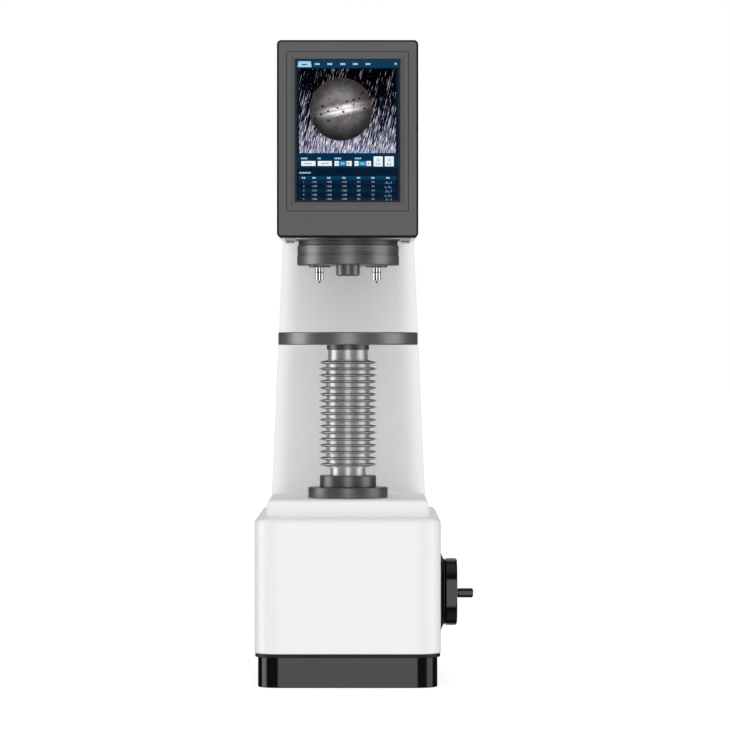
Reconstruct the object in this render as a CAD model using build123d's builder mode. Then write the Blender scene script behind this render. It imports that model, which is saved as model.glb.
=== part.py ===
from build123d import *
import os
from math import pi, radians, sqrt, tan

os.makedirs("parts", exist_ok=True)

# ---------------------------------------------------------------- dimensions
# millimetres; X to the right of the operator, Y away from them, Z up.
# The origin is where the test axis meets the bench.

# footprint
base_front, base_back = -112.0, 290.0
base_hw = 107.1
base_bottom, base_top = 38.9, 194.6
base_corner = 29.0
plinth_top = 36.3
plinth_hw, plinth_corner = 103.2, 25.0
plinth_front, plinth_back = -108.0, 286.0
skirt_wall = 4.0
plate_t = 12.0
cavity_hw, cavity_front, cavity_back = 92.0, -96.0, 274.0
cavity_top = 180.6

# frame casting (foot, column and arm)
foot_front, foot_back, foot_top = -96.3, 287.0, 214.3
foot_hw, foot_draft, foot_round = 94.3, 4.9, 4.5
column_front, column_back = 110.0, 285.0
arm_front, arm_under, arm_top = -62.0, 517.0, 735.0
hw_low, hw_high = 93.0, 68.9  # half widths at base_top and arm_top
frame_wall = 9.0
lean = (hw_low - hw_high) / (arm_top - base_top)

# head with the touch screen
head_hw, head_front, head_bottom, head_top = 80.9, -112.0, 516.0, 741.5
bezel_w, bezel_h, bezel_mid = 139.0, 181.8, 636.9
screen_w, screen_h, screen_mid = 120.7, 164.2, 638.0
bevel_w, bevel_d = 4.6, 1.5  # bevel of the bezel round the screen

# turret
turret_y = 33.7
turret_r, turret_bottom, turret_top = 60.0, 486.6, 510.0
index_r = 33.7  # objective and indenters from the turret's axis
objective_r, objective_bottom = 13.9, 473.9
indenter_r, indenter_tip = 4.95, 466.1
ball_r = 1.25

# anvil and elevating screw
anvil_r, anvil_bottom, anvil_top = 81.5, 393.1, 407.7
hub_r, hub_bottom = 24.8, 387.2
upper_sleeve_r, bellows_top = 23.4, 375.7
bellows_bottom, bellows_tip_r, bellows_valley_r, fins = 250.2, 34.4, 25.5, 17
lower_sleeve_r, lower_sleeve_bottom = 20.9, 240.7
collar_r, collar_bottom = 33.0, 227.0
flange_r = 46.5
screw_r, screw_bottom = 19.0, 94.0
gap = 0.3  # running clearance, on the radius

# bevel drive
apex_z = 104.5  # height of the handwheel's axis
module, gear_teeth, pinion_teeth, face_w = 2.5, 32, 16, 12.0
backlash = 0.55

# handwheel
wheel_in, wheel_out, wheel_r = 112.8, 127.3, 39.35
grip_y, grip_r, grip_in, grip_out = -27.0, 5.5, 127.6, 145.7
shaft_r = 7.5

turret_plane = Plane(origin=(0, turret_y, 0), x_dir=(1, 0, 0), z_dir=(0, -1, 0))
turret_axis = Axis((0, turret_y, 0), (0, 0, 1))
wheel_axis = Axis((0, 0, apex_z), (1, 0, 0))

# ---------------------------------------------------------------- plinth and base

bolt_spots = [(-77, -80), (77, -80), (-77, 258), (77, 258)]
frame_bolt_spots = [(-68, -72), (68, -72), (-78, 45), (78, 45), (-64, 262), (64, 262)]
level_spots = [(-45, -82), (45, -82), (-45, 260), (45, 260)]
transport_spots = [(-75, -30), (75, -30), (-75, 210), (75, 210)]

with BuildPart() as base_plate:
    with BuildSketch(Plane.XY):
        with Locations((0, (plinth_front + plinth_back) / 2)):
            RectangleRounded(
                2 * (plinth_hw - skirt_wall),
                plinth_back - plinth_front - 2 * skirt_wall,
                plinth_corner - skirt_wall,
            )
    extrude(amount=plate_t)
    with Locations(*[(x, y, plate_t) for x, y in bolt_spots]):
        Hole(6)
    with Locations(*[(x, y, plate_t) for x, y in level_spots]):
        Hole(7)
    # tapped holes that take transport or bench bolts
    with Locations(*[(x, y, plate_t) for x, y in transport_spots]):
        Hole(4.25)
base_plate.part.label = "base_plate"

with BuildPart() as levelling_screws:
    with Locations(*[(x, y, 0) for x, y in level_spots]):
        Cylinder(7, 22, align=(Align.CENTER, Align.CENTER, Align.MIN))
    with BuildSketch(Plane.XY.offset(22)):
        with Locations(*level_spots):
            RegularPolygon(3.5, 6)
    extrude(amount=-8, mode=Mode.SUBTRACT)
levelling_screws.part.label = "levelling_screws"

with BuildPart() as plinth_skirt:
    with BuildSketch(Plane.XY):
        with Locations((0, (plinth_front + plinth_back) / 2)):
            RectangleRounded(2 * plinth_hw, plinth_back - plinth_front, plinth_corner)
            RectangleRounded(
                2 * (plinth_hw - skirt_wall),
                plinth_back - plinth_front - 2 * skirt_wall,
                plinth_corner - skirt_wall,
                mode=Mode.SUBTRACT,
            )
    extrude(amount=plinth_top)
    chamfer(
        plinth_skirt.faces().sort_by(Axis.Z)[-1].outer_wire().edges(),
        0.8,
    )
    chamfer(
        plinth_skirt.faces().sort_by(Axis.Z)[0].outer_wire().edges(),
        0.8,
    )
plinth_skirt.part.label = "plinth_skirt"

with BuildPart() as base_casting:
    with BuildSketch(Plane.XY.offset(base_bottom)):
        with Locations((0, (base_front + base_back) / 2)):
            RectangleRounded(2 * base_hw, base_back - base_front, base_corner)
    extrude(amount=base_top - base_bottom)
    fillet(base_casting.faces().sort_by(Axis.Z)[-1].edges(), 7)
    chamfer(base_casting.faces().sort_by(Axis.Z)[0].edges(), 0.8)
    # neck that stands on the base plate inside the skirt
    with BuildSketch(Plane.XY.offset(plate_t)):
        with Locations((0, (plinth_front + plinth_back) / 2)):
            RectangleRounded(
                2 * (plinth_hw - skirt_wall),
                plinth_back - plinth_front - 2 * skirt_wall,
                plinth_corner - skirt_wall,
            )
    extrude(amount=base_bottom - plate_t)
    with BuildSketch(Plane.XY.offset(plate_t)):
        with Locations((0, (cavity_front + cavity_back) / 2)):
            RectangleRounded(2 * cavity_hw, cavity_back - cavity_front, 14)
    extrude(amount=cavity_top - plate_t, mode=Mode.SUBTRACT)
    # lugs for the bolts into the base plate
    with BuildSketch(Plane.XY.offset(plate_t)):
        with Locations(*bolt_spots):
            Rectangle(34, 34)
        with Locations((0, (cavity_front + cavity_back) / 2)):
            RectangleRounded(
                2 * cavity_hw, cavity_back - cavity_front, 14, mode=Mode.INTERSECT
            )
    extrude(amount=14)
    with BuildSketch(Plane.XY.offset(plate_t)):
        with Locations(*bolt_spots):
            Circle(6)
    extrude(amount=14, mode=Mode.SUBTRACT)
    # holes in the top: screw, frame bolts and cables
    with BuildSketch(Plane.XY.offset(cavity_top)):
        Circle(25)
        with Locations(*frame_bolt_spots):
            Circle(6)
        with Locations((0, 200)):
            RectangleRounded(90, 60, 10)
    extrude(amount=base_top - cavity_top, mode=Mode.SUBTRACT)
    # bore for the handwheel's bearing flange
    with BuildSketch(Plane.YZ.offset(cavity_hw)):
        with Locations((0, apex_z)):
            Circle(26)
    extrude(amount=base_hw - cavity_hw, mode=Mode.SUBTRACT)
    # recess and window of the rear panel
    with BuildSketch(Plane.XZ.offset(-base_back)):
        with Locations((0, 110)):
            RectangleRounded(164, 124, 4)
    extrude(amount=2.5, mode=Mode.SUBTRACT)
    with BuildSketch(Plane.XZ.offset(-base_back)):
        with Locations((0, 110)):
            RectangleRounded(144, 104, 4)
    extrude(amount=base_back - cavity_back, mode=Mode.SUBTRACT)
    with BuildSketch(Plane.XZ.offset(-base_back)):
        with Locations(*[(x, 110 + z) for x in (-77, 77) for z in (-57, 57)]):
            Circle(2)
    extrude(amount=12, mode=Mode.SUBTRACT)
base_casting.part.label = "base_casting"

with BuildPart() as frame_bolts:
    with Locations(*[(x, y, 0) for x, y in bolt_spots]):
        Cylinder(6, 26, align=(Align.CENTER, Align.CENTER, Align.MIN))
    with Locations(*[(x, y, 26) for x, y in bolt_spots]):
        Cylinder(9, 12, align=(Align.CENTER, Align.CENTER, Align.MIN))
    with Locations(*[(x, y, cavity_top) for x, y in frame_bolt_spots]):
        Cylinder(6, 26, align=(Align.CENTER, Align.CENTER, Align.MIN))
    with Locations(*[(x, y, cavity_top) for x, y in frame_bolt_spots]):
        Cylinder(9, 12, align=(Align.CENTER, Align.CENTER, Align.MAX))
    with BuildSketch(Plane.XY.offset(38)):
        with Locations(*bolt_spots):
            RegularPolygon(5.2, 6)
    extrude(amount=-6, mode=Mode.SUBTRACT)
    with BuildSketch(Plane.XY.offset(cavity_top - 12)):
        with Locations(*frame_bolt_spots):
            RegularPolygon(5.2, 6)
    extrude(amount=6, mode=Mode.SUBTRACT)
frame_bolts.part.label = "frame_bolts"

# ---------------------------------------------------------------- frame casting

cover_low, cover_high, cover_hw = 236.0, 714.0, 60.0


def half_width(z):
    return hw_low - lean * (z - base_top)


# The hollow of the casting: column and arm, with walls frame_wall thick.
with BuildPart() as frame_hollow:
    with BuildSketch(Plane.YZ):
        Polygon(
            (column_front + frame_wall, foot_top + 12),
            (column_back - frame_wall, foot_top + 12),
            (column_back - frame_wall, arm_top - frame_wall),
            (arm_front + frame_wall, arm_top - frame_wall),
            (arm_front + frame_wall, arm_under + 10),
            (column_front + frame_wall, arm_under + 10),
        )
    extrude(amount=150, both=True)
    with BuildSketch(Plane.XZ):
        Polygon(
            (-half_width(base_top) + frame_wall, base_top),
            (half_width(base_top) - frame_wall, base_top),
            (half_width(arm_top) - frame_wall, arm_top),
            (-half_width(arm_top) + frame_wall, arm_top),
        )
    extrude(amount=400, both=True, mode=Mode.INTERSECT)
    fillet(
        frame_hollow.edges().filter_by(
            lambda e: e.length > 250 and e.center().Y > 100 and abs(e.center().X) > 40
            and abs(e.tangent_at(0.5).Z) > 0.9
        ),
        12,
    )

# The foot, with draft on its sides and a rounded top edge.
with BuildPart() as foot:
    with BuildSketch(Plane.XY.offset(base_top)):
        with Locations((0, (foot_front + foot_back) / 2)):
            RectangleRounded(2 * foot_hw, foot_back - foot_front, 23)
    extrude(amount=foot_top - base_top, taper=foot_draft)
    fillet(foot.faces().sort_by(Axis.Z)[-1].edges(), foot_round)

with BuildPart() as frame_casting:
    with BuildSketch(Plane.YZ):
        Polygon(
            (column_front, base_top),
            (column_back, base_top),
            (column_back, arm_top),
            (arm_front, arm_top),
            (arm_front, arm_under),
            (column_front, arm_under),
        )
    extrude(amount=150, both=True)
    with BuildSketch(Plane.XZ):
        Polygon(
            (-half_width(base_top), base_top),
            (half_width(base_top), base_top),
            (half_width(arm_top), arm_top),
            (-half_width(arm_top), arm_top),
        )
    extrude(amount=400, both=True, mode=Mode.INTERSECT)
    upright = frame_casting.edges().filter_by(
        lambda e: abs(e.tangent_at(0.5).Z) > 0.9 and e.length > 250
    )
    fillet(upright, 22)
    add(foot.part)
    # hollow fillet where the column stands on the foot
    crease = frame_casting.edges().filter_by(
        lambda e: abs(e.center().Z - foot_top) < 0.05 and 100 < e.center().Y < 140
    )
    fillet(crease, 3.5)
    # round the arm's top edges; its front edge is square, behind the head
    fillet(
        frame_casting.faces()
        .sort_by(Axis.Z)[-1]
        .edges()
        .filter_by(lambda e: e.center().Y > arm_front + 1),
        5,
    )
    add(frame_hollow.part, mode=Mode.SUBTRACT)
    # bosses on the arm's floor for the turret bearing and the spindle guide
    with BuildSketch(Plane.XY.offset(arm_under)):
        Circle(16)
        with Locations((0, turret_y)):
            Circle(22)
    extrude(amount=24)
    with BuildSketch(Plane.XY.offset(arm_under)):
        Circle(12)
        with Locations((0, turret_y)):
            Circle(16)
    extrude(amount=24, mode=Mode.SUBTRACT)
    # bore in the foot for the screw and blind holes of the bolts
    with BuildSketch(Plane.XY.offset(base_top)):
        Circle(25)
        with Locations((0, 200)):
            RectangleRounded(90, 60, 10)
    extrude(amount=foot_top + 12 - base_top, mode=Mode.SUBTRACT)
    with BuildSketch(Plane.XY.offset(base_top)):
        with Locations(*frame_bolt_spots):
            Circle(6)
    extrude(amount=12, mode=Mode.SUBTRACT)
    # window in the front wall of the arm, behind the head
    with BuildSketch(Plane.XZ.offset(-arm_front)):
        with Locations((0, 636)):
            RectangleRounded(90, 150, 8)
    extrude(amount=-frame_wall, mode=Mode.SUBTRACT)
    # recess and window of the rear cover
    with BuildSketch(Plane.XZ.offset(-column_back)):
        with Locations((0, (cover_low + cover_high) / 2)):
            RectangleRounded(2 * cover_hw, cover_high - cover_low, 5)
    extrude(amount=2, mode=Mode.SUBTRACT)
    with BuildSketch(Plane.XZ.offset(-column_back)):
        with Locations((0, (cover_low + cover_high) / 2)):
            RectangleRounded(2 * cover_hw - 20, cover_high - cover_low - 20, 5)
    extrude(amount=frame_wall, mode=Mode.SUBTRACT)
    with BuildSketch(Plane.XZ.offset(-column_back)):
        with Locations(
            *[
                (x, z)
                for x in (-cover_hw + 5, cover_hw - 5)
                for z in (cover_low + 5, (cover_low + cover_high) / 2, cover_high - 5)
            ]
        ):
            Circle(2)
    extrude(amount=9, mode=Mode.SUBTRACT)
    with BuildSketch(Plane.XZ.offset(-arm_front)):
        with Locations(*[(x, 636 + z) for x in (-58, 58) for z in (-84, 84)]):
            Circle(2)
    extrude(amount=-frame_wall, mode=Mode.SUBTRACT)
frame_casting.part.label = "frame_casting"

with BuildPart() as rear_cover:
    with BuildSketch(Plane.XZ.offset(-column_back)):
        with Locations((0, (cover_low + cover_high) / 2)):
            RectangleRounded(2 * cover_hw, cover_high - cover_low, 5)
        with Locations(
            *[
                (x, z)
                for x in (-cover_hw + 5, cover_hw - 5)
                for z in (cover_low + 5, (cover_low + cover_high) / 2, cover_high - 5)
            ]
        ):
            Circle(2, mode=Mode.SUBTRACT)
        with Locations((0, 640)):
            with GridLocations(0, 9, 1, 9):
                SlotOverall(70, 3.4, mode=Mode.SUBTRACT)
        with Locations((0, 300)):
            with GridLocations(0, 9, 1, 7):
                SlotOverall(70, 3.4, mode=Mode.SUBTRACT)
    extrude(amount=2)
rear_cover.part.label = "rear_cover"

# ---------------------------------------------------------------- rear panel and electrics

inlet_x, switch_x, port_x, socket_z = -48.0, -8.0, 42.0, 84.0

with BuildPart() as base_rear_panel:
    with BuildSketch(Plane.XZ.offset(-base_back)):
        with Locations((0, 110)):
            RectangleRounded(164, 124, 4)
        with Locations(*[(x, 110 + z) for x in (-77, 77) for z in (-57, 57)]):
            Circle(2, mode=Mode.SUBTRACT)
        with Locations((inlet_x, socket_z)):
            Rectangle(28, 20, mode=Mode.SUBTRACT)
        with Locations((switch_x, socket_z)):
            Rectangle(20, 28, mode=Mode.SUBTRACT)
        with Locations((port_x, socket_z)):
            Rectangle(52, 18, mode=Mode.SUBTRACT)
        with Locations((0, 136)):
            with GridLocations(0, 8, 1, 5):
                SlotOverall(110, 3.2, mode=Mode.SUBTRACT)
    extrude(amount=2.5)
base_rear_panel.part.label = "base_rear_panel"

with BuildPart() as power_inlet:
    with BuildSketch(Plane.XZ.offset(-base_back)):
        with Locations((inlet_x, socket_z)):
            RectangleRounded(46, 28, 3)
    extrude(amount=-2.5)
    with BuildSketch(Plane.XZ.offset(-base_back)):
        with Locations((inlet_x, socket_z)):
            Rectangle(28, 20)
    extrude(amount=20)
    with BuildSketch(Plane.XZ.offset(-base_back - 2.5)):
        with Locations((inlet_x, socket_z)):
            with BuildLine():
                Polyline(
                    (-12, -8),
                    (12, -8),
                    (12, 3.5),
                    (7.5, 8),
                    (-7.5, 8),
                    (-12, 3.5),
                    close=True,
                )
            make_face()
    extrude(amount=18, mode=Mode.SUBTRACT)
    with BuildSketch(Plane.XZ.offset(-base_back + 15.5)):
        with Locations(
            (inlet_x - 7, socket_z - 1.5), (inlet_x, socket_z + 2.5), (inlet_x + 7, socket_z - 1.5)
        ):
            Rectangle(2, 4)
    extrude(amount=-14)
power_inlet.part.label = "power_inlet"

rocker_y = 287.0
with BuildPart() as switch_body:
    with BuildSketch(Plane.XZ.offset(-base_back)):
        with Locations((switch_x, socket_z)):
            RectangleRounded(25, 33, 2)
    extrude(amount=-2)
    with BuildSketch(Plane.XZ.offset(-base_back)):
        with Locations((switch_x, socket_z)):
            Rectangle(20, 28)
    extrude(amount=20)
    with BuildSketch(Plane.XZ.offset(-base_back - 2)):
        with Locations((switch_x, socket_z)):
            Rectangle(15.4, 26)
    extrude(amount=14, mode=Mode.SUBTRACT)
    # pivot pin that the rocker turns on
    with BuildSketch(Plane.YZ.offset(switch_x - 8)):
        with Locations((rocker_y, socket_z)):
            Circle(1.1)
    extrude(amount=16)
switch_body.part.label = "switch_body"

with BuildPart() as switch_rocker:
    with BuildSketch(Plane.YZ.offset(switch_x)):
        Polygon(
            (rocker_y - 4, socket_z - 10.5),
            (rocker_y + 7.5, socket_z - 11.0),
            (rocker_y + 4.6, socket_z),
            (rocker_y + 7.5, socket_z + 11.0),
            (rocker_y - 4, socket_z + 10.5),
        )
    extrude(amount=7.2, both=True)
    with BuildSketch(Plane.YZ.offset(switch_x - 8)):
        with Locations((rocker_y, socket_z)):
            Circle(1.25)
    extrude(amount=16, mode=Mode.SUBTRACT)
switch_rocker.part.label = "switch_rocker"

with BuildPart() as data_ports:
    with BuildSketch(Plane.XZ.offset(-base_back - 1)):
        with Locations((port_x, socket_z)):
            Rectangle(52, 18)
    extrude(amount=22)
    with BuildSketch(Plane.XZ.offset(-base_back - 1)):
        with Locations((port_x - 16, socket_z)):
            Rectangle(12.4, 9.6)
        with Locations((port_x - 16, socket_z - 5.4)):
            Rectangle(6, 2.4)
        with Locations((port_x + 2, socket_z), (port_x + 18, socket_z)):
            Rectangle(12.4, 4.9)
    extrude(amount=13, mode=Mode.SUBTRACT)
    with BuildSketch(Plane.XZ.offset(-base_back + 12)):
        with Locations((port_x + 2, socket_z + 0.9), (port_x + 18, socket_z + 0.9)):
            Rectangle(10, 1.6)
    extrude(amount=-11)
data_ports.part.label = "data_ports"

with BuildPart() as power_supply:
    with BuildSketch(Plane.XY.offset(plate_t)):
        with Locations((-33, 185)):
            Rectangle(66, 110)
    extrude(amount=38)
    with BuildSketch(Plane.XY.offset(plate_t + 38)):
        with Locations((-33, 137)):
            Rectangle(62, 16)
    extrude(amount=-16, mode=Mode.SUBTRACT)
    with BuildSketch(Plane.XY.offset(plate_t + 22)):
        with Locations((-33, 138)):
            with GridLocations(10, 0, 6, 1):
                Rectangle(6.5, 9)
    extrude(amount=8)
power_supply.part.label = "power_supply"

with BuildPart() as control_board:
    with BuildSketch(Plane.XY.offset(plate_t)):
        with Locations((38, 180)):
            with GridLocations(50, 94, 2, 2):
                Circle(3)
    extrude(amount=8)
    with BuildSketch(Plane.XY.offset(plate_t + 8)):
        with Locations((38, 180)):
            RectangleRounded(60, 104, 3)
    extrude(amount=1.6)
    with BuildSketch(Plane.XY.offset(plate_t + 9.6)):
        with Locations((38, 175)):
            Rectangle(16, 16)
        with Locations((56, 205)):
            Rectangle(10, 14)
    extrude(amount=2.4)
    with BuildSketch(Plane.XY.offset(plate_t + 9.6)):
        with Locations((38, 136)):
            Rectangle(44, 9)
        with Locations((16, 180)):
            Rectangle(9, 40)
    extrude(amount=9)
control_board.part.label = "control_board"

# ---------------------------------------------------------------- elevation drive

with BuildPart() as nut_housing:
    with BuildSketch(Plane.XZ):
        Polygon(
            (31, 140),
            (48, 140),
            (48, 171),
            (60, 171),
            (60, cavity_top),
            (40, cavity_top),
            (40, 148),
            (31, 148),
        )
    revolve(axis=Axis.Z)
nut_housing.part.label = "nut_housing"

with BuildPart() as thrust_bearing:
    with BuildSketch(Plane.XZ):
        Polygon(
            (31, 148), (40, 148), (40, 152), (38.2, 152), (38.2, 156), (40, 156),
            (40, 160), (31, 160), (31, 156), (33, 156), (33, 152), (31, 152),
        )
    revolve(axis=Axis.Z)
thrust_bearing.part.label = "thrust_bearing"

with BuildPart() as screw_nut:
    with BuildSketch(Plane.XZ):
        Polygon(
            (screw_r + gap, 119),
            (25, 119),
            (25, 138.5),
            (30.4, 138.5),
            (30.4, 160.3),
            (39.2, 160.3),
            (39.2, 170),
            (30, 170),
            (30, 178.5),
            (screw_r + gap, 178.5),
        )
    revolve(axis=Axis.Z)
screw_nut.part.label = "screw_nut"

# Straight bevel teeth: each is a trapezoid that shrinks towards the apex.
cone_r = module / 2 * sqrt(gear_teeth**2 + pinion_teeth**2)
shrink = (cone_r - face_w) / cone_r
addendum, dedendum = 0.72 * module, 1.15 * module
pressure = tan(radians(20))
half_pitch = (pi * module / 2 - backlash) / 2
gear_sin = gear_teeth / sqrt(gear_teeth**2 + pinion_teeth**2)
gear_cos = pinion_teeth / sqrt(gear_teeth**2 + pinion_teeth**2)


def tooth_points(scale, half=half_pitch):
    root = half + dedendum * pressure
    tip = half - addendum * pressure
    return [
        (-root * scale, dedendum * scale),
        (root * scale, dedendum * scale),
        (tip * scale, -addendum * scale),
        (-tip * scale, -addendum * scale),
    ]


gear_out = Plane(
    origin=(cone_r * gear_sin, 0, apex_z + cone_r * gear_cos),
    x_dir=(0, 1, 0),
    z_dir=(gear_sin, 0, gear_cos),
)
gear_in = Plane(
    origin=(cone_r * shrink * gear_sin, 0, apex_z + cone_r * shrink * gear_cos),
    x_dir=(0, 1, 0),
    z_dir=(gear_sin, 0, gear_cos),
)
with BuildPart() as gear_tooth:
    with BuildSketch(gear_out):
        Polygon(*tooth_points(1))
    with BuildSketch(gear_in):
        Polygon(*tooth_points(shrink))
    loft()

with BuildPart() as bevel_gear:
    root_o, root_i = 0.95 * dedendum, 0.95 * dedendum * shrink
    with BuildSketch(Plane.XZ):
        Polygon(
            (25, apex_z + cone_r * shrink * gear_cos + root_i * gear_sin),
            (
                cone_r * shrink * gear_sin - root_i * gear_cos,
                apex_z + cone_r * shrink * gear_cos + root_i * gear_sin,
            ),
            (
                cone_r * gear_sin - root_o * gear_cos,
                apex_z + cone_r * gear_cos + root_o * gear_sin,
            ),
            (cone_r * gear_sin - root_o * gear_cos, 133),
            (32, 133),
            (32, 137),
            (25, 137),
        )
    revolve(axis=Axis.Z)
    with PolarLocations(0, gear_teeth):
        add(gear_tooth.part)
bevel_gear.part.label = "bevel_gear"

pinion_out = Plane(
    origin=(cone_r * gear_sin, 0, apex_z + cone_r * gear_cos),
    x_dir=(0, 1, 0),
    z_dir=(gear_sin, 0, gear_cos),
)
# The pinion is drawn about the X axis through the apex; a tooth gap faces the gear.
pinion_base = Plane(origin=(0, 0, apex_z), x_dir=(0, 0, 1), z_dir=(1, 0, 0))
tooth_out = Plane(
    origin=(cone_r * gear_cos, 0, cone_r * gear_sin),
    x_dir=(0, 1, 0),
    z_dir=(gear_cos, 0, gear_sin),
)
tooth_in = Plane(
    origin=(cone_r * shrink * gear_cos, 0, cone_r * shrink * gear_sin),
    x_dir=(0, 1, 0),
    z_dir=(gear_cos, 0, gear_sin),
)
with BuildPart() as pinion_tooth:
    with BuildSketch(tooth_out):
        Polygon(*tooth_points(1))
    with BuildSketch(tooth_in):
        Polygon(*tooth_points(shrink))
    loft()

with BuildPart(pinion_base) as bevel_pinion:
    with BuildSketch(Plane.XZ):
        Polygon(
            (cone_r * shrink * gear_sin + root_i * gear_cos, apex_z + shaft_r),
            (
                cone_r * shrink * gear_sin + root_i * gear_cos,
                apex_z + cone_r * shrink * gear_cos - root_i * gear_sin,
            ),
            (
                cone_r * gear_sin + root_o * gear_cos,
                apex_z + cone_r * gear_cos - root_o * gear_sin,
            ),
            (46, apex_z + cone_r * gear_cos - root_o * gear_sin),
            (46, apex_z + 12),
            (54, apex_z + 12),
            (54, apex_z + shaft_r),
        )
    revolve(axis=wheel_axis)
    with PolarLocations(0, pinion_teeth, start_angle=180 / pinion_teeth):
        add(pinion_tooth.part)
bevel_pinion.part.label = "bevel_pinion"

with BuildPart() as handwheel_shaft:
    with BuildSketch(Plane.XZ):
        Polygon(
            (29.5, apex_z),
            (127.3, apex_z),
            (127.3, apex_z + 6),
            (126.3, apex_z + shaft_r),
            (29.5, apex_z + shaft_r),
        )
    revolve(axis=wheel_axis)
    with BuildSketch(Plane.YZ.offset(127.3)):
        with Locations((0, apex_z)):
            RegularPolygon(3, 6)
    extrude(amount=-5, mode=Mode.SUBTRACT)
handwheel_shaft.part.label = "handwheel_shaft"

with BuildPart() as bearing_flange:
    with BuildSketch(Plane.XZ):
        Polygon(
            (60, apex_z + 12),
            (60, apex_z + 26),
            (base_hw, apex_z + 26),
            (base_hw, apex_z + 47.5),
            (base_hw + 0.8, apex_z + 47.5),
            (111.4, apex_z + 39.2),
            (111.4, apex_z + 10),
            (106, apex_z + 10),
            (106, apex_z + 16),
            (62, apex_z + 16),
            (62, apex_z + 12),
        )
    revolve(axis=wheel_axis)
bearing_flange.part.label = "bearing_flange"

with BuildPart() as shaft_bearings:
    with BuildSketch(Plane.XZ):
        Polygon(
            (62, apex_z + shaft_r + gap), (62, apex_z + 16),
            (71, apex_z + 16), (71, apex_z + shaft_r + gap),
        )
        Polygon(
            (97, apex_z + shaft_r + gap), (97, apex_z + 16),
            (106, apex_z + 16), (106, apex_z + shaft_r + gap),
        )
    revolve(axis=wheel_axis)
shaft_bearings.part.label = "shaft_bearings"

with BuildPart() as handwheel:
    with BuildSketch(Plane.XZ):
        Polygon(
            (wheel_in, apex_z + shaft_r),
            (wheel_in, apex_z + wheel_r - 2),
            (wheel_in + 2, apex_z + wheel_r),
            (wheel_out - 2, apex_z + wheel_r),
            (wheel_out, apex_z + wheel_r - 2),
            (wheel_out, apex_z + 34),
            (wheel_out - 2.5, apex_z + 33),
            (wheel_out - 2.5, apex_z + 17),
            (wheel_out, apex_z + 16),
            (wheel_out, apex_z + shaft_r),
        )
    revolve(axis=wheel_axis)
    with BuildSketch(Plane.YZ.offset(wheel_out)):
        with Locations((grip_y, apex_z)):
            Circle(6.6)
    extrude(amount=-2.5)
    with BuildSketch(Plane.YZ.offset(wheel_out)):
        with Locations((grip_y, apex_z)):
            Circle(3)
    extrude(amount=-11, mode=Mode.SUBTRACT)
handwheel.part.label = "handwheel"

with BuildPart() as grip_spindle:
    with BuildSketch(Plane.YZ.offset(wheel_out - 11)):
        with Locations((grip_y, apex_z)):
            Circle(3)
    extrude(amount=grip_out - wheel_out + 11 - 1)
grip_spindle.part.label = "grip_spindle"

with BuildPart() as grip_sleeve:
    with BuildSketch(Plane.XZ.offset(-grip_y)):
        Polygon(
            (grip_in, apex_z + 3 + gap),
            (grip_in, apex_z + grip_r - 0.8),
            (grip_in + 0.8, apex_z + grip_r),
            (grip_out - 1.6, apex_z + grip_r),
            (grip_out, apex_z + grip_r - 1.6),
            (grip_out, apex_z),
            (grip_out - 0.6, apex_z),
            (grip_out - 0.6, apex_z + 3 + gap),
        )
    revolve(axis=Axis((0, grip_y, apex_z), (1, 0, 0)))
grip_sleeve.part.label = "grip_sleeve"

# ---------------------------------------------------------------- screw, bellows and anvil

with BuildPart() as elevating_screw:
    with BuildSketch(Plane.XZ):
        Polygon(
            (0, screw_bottom),
            (screw_r - 1.5, screw_bottom),
            (screw_r, screw_bottom + 1.5),
            (screw_r, anvil_bottom - 0.2),
            (10.3, anvil_bottom - 0.2),
            (10.3, 352),
            (0, 352),
        )
    revolve(axis=Axis.Z)
    # keyway on the rear side
    with BuildSketch(Plane.XY.offset(168)):
        with Locations((0, screw_r)):
            Rectangle(6, 6)
    extrude(amount=164, mode=Mode.SUBTRACT)
elevating_screw.part.label = "elevating_screw"

with BuildPart() as guide_key:
    with BuildSketch(Plane.XY.offset(228)):
        with Locations((0, 22)):
            Rectangle(5.4, 11.4)
    extrude(amount=11.5)
guide_key.part.label = "guide_key"

with BuildPart() as base_flange:
    with BuildSketch(Plane.XZ):
        Polygon(
            (screw_r + 0.6, 198),
            (25, 198),
            (25, foot_top),
            (flange_r - 0.6, foot_top),
            (flange_r, foot_top + 0.6),
            (flange_r, collar_bottom - 0.8),
            (flange_r - 0.8, collar_bottom),
            (screw_r + 0.6, collar_bottom),
        )
    revolve(axis=Axis.Z)
base_flange.part.label = "base_flange"

with BuildPart() as guide_collar:
    with BuildSketch(Plane.XZ):
        Polygon(
            (screw_r + 0.4, collar_bottom),
            (collar_r - 0.6, collar_bottom),
            (collar_r, collar_bottom + 0.6),
            (collar_r, lower_sleeve_bottom - 0.8),
            (collar_r - 0.8, lower_sleeve_bottom),
            (screw_r + 0.4, lower_sleeve_bottom),
        )
    revolve(axis=Axis.Z)
    with BuildSketch(Plane.XY.offset(228)):
        with Locations((0, 22)):
            Rectangle(5.4, 11.4)
    extrude(amount=11.5, mode=Mode.SUBTRACT)
guide_collar.part.label = "guide_collar"

with BuildPart() as lower_sleeve:
    with BuildSketch(Plane.XZ):
        Polygon(
            (screw_r + 0.4, lower_sleeve_bottom),
            (lower_sleeve_r, lower_sleeve_bottom),
            (lower_sleeve_r, bellows_bottom),
            (screw_r + 0.4, bellows_bottom),
        )
    revolve(axis=Axis.Z)
lower_sleeve.part.label = "lower_sleeve"

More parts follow.
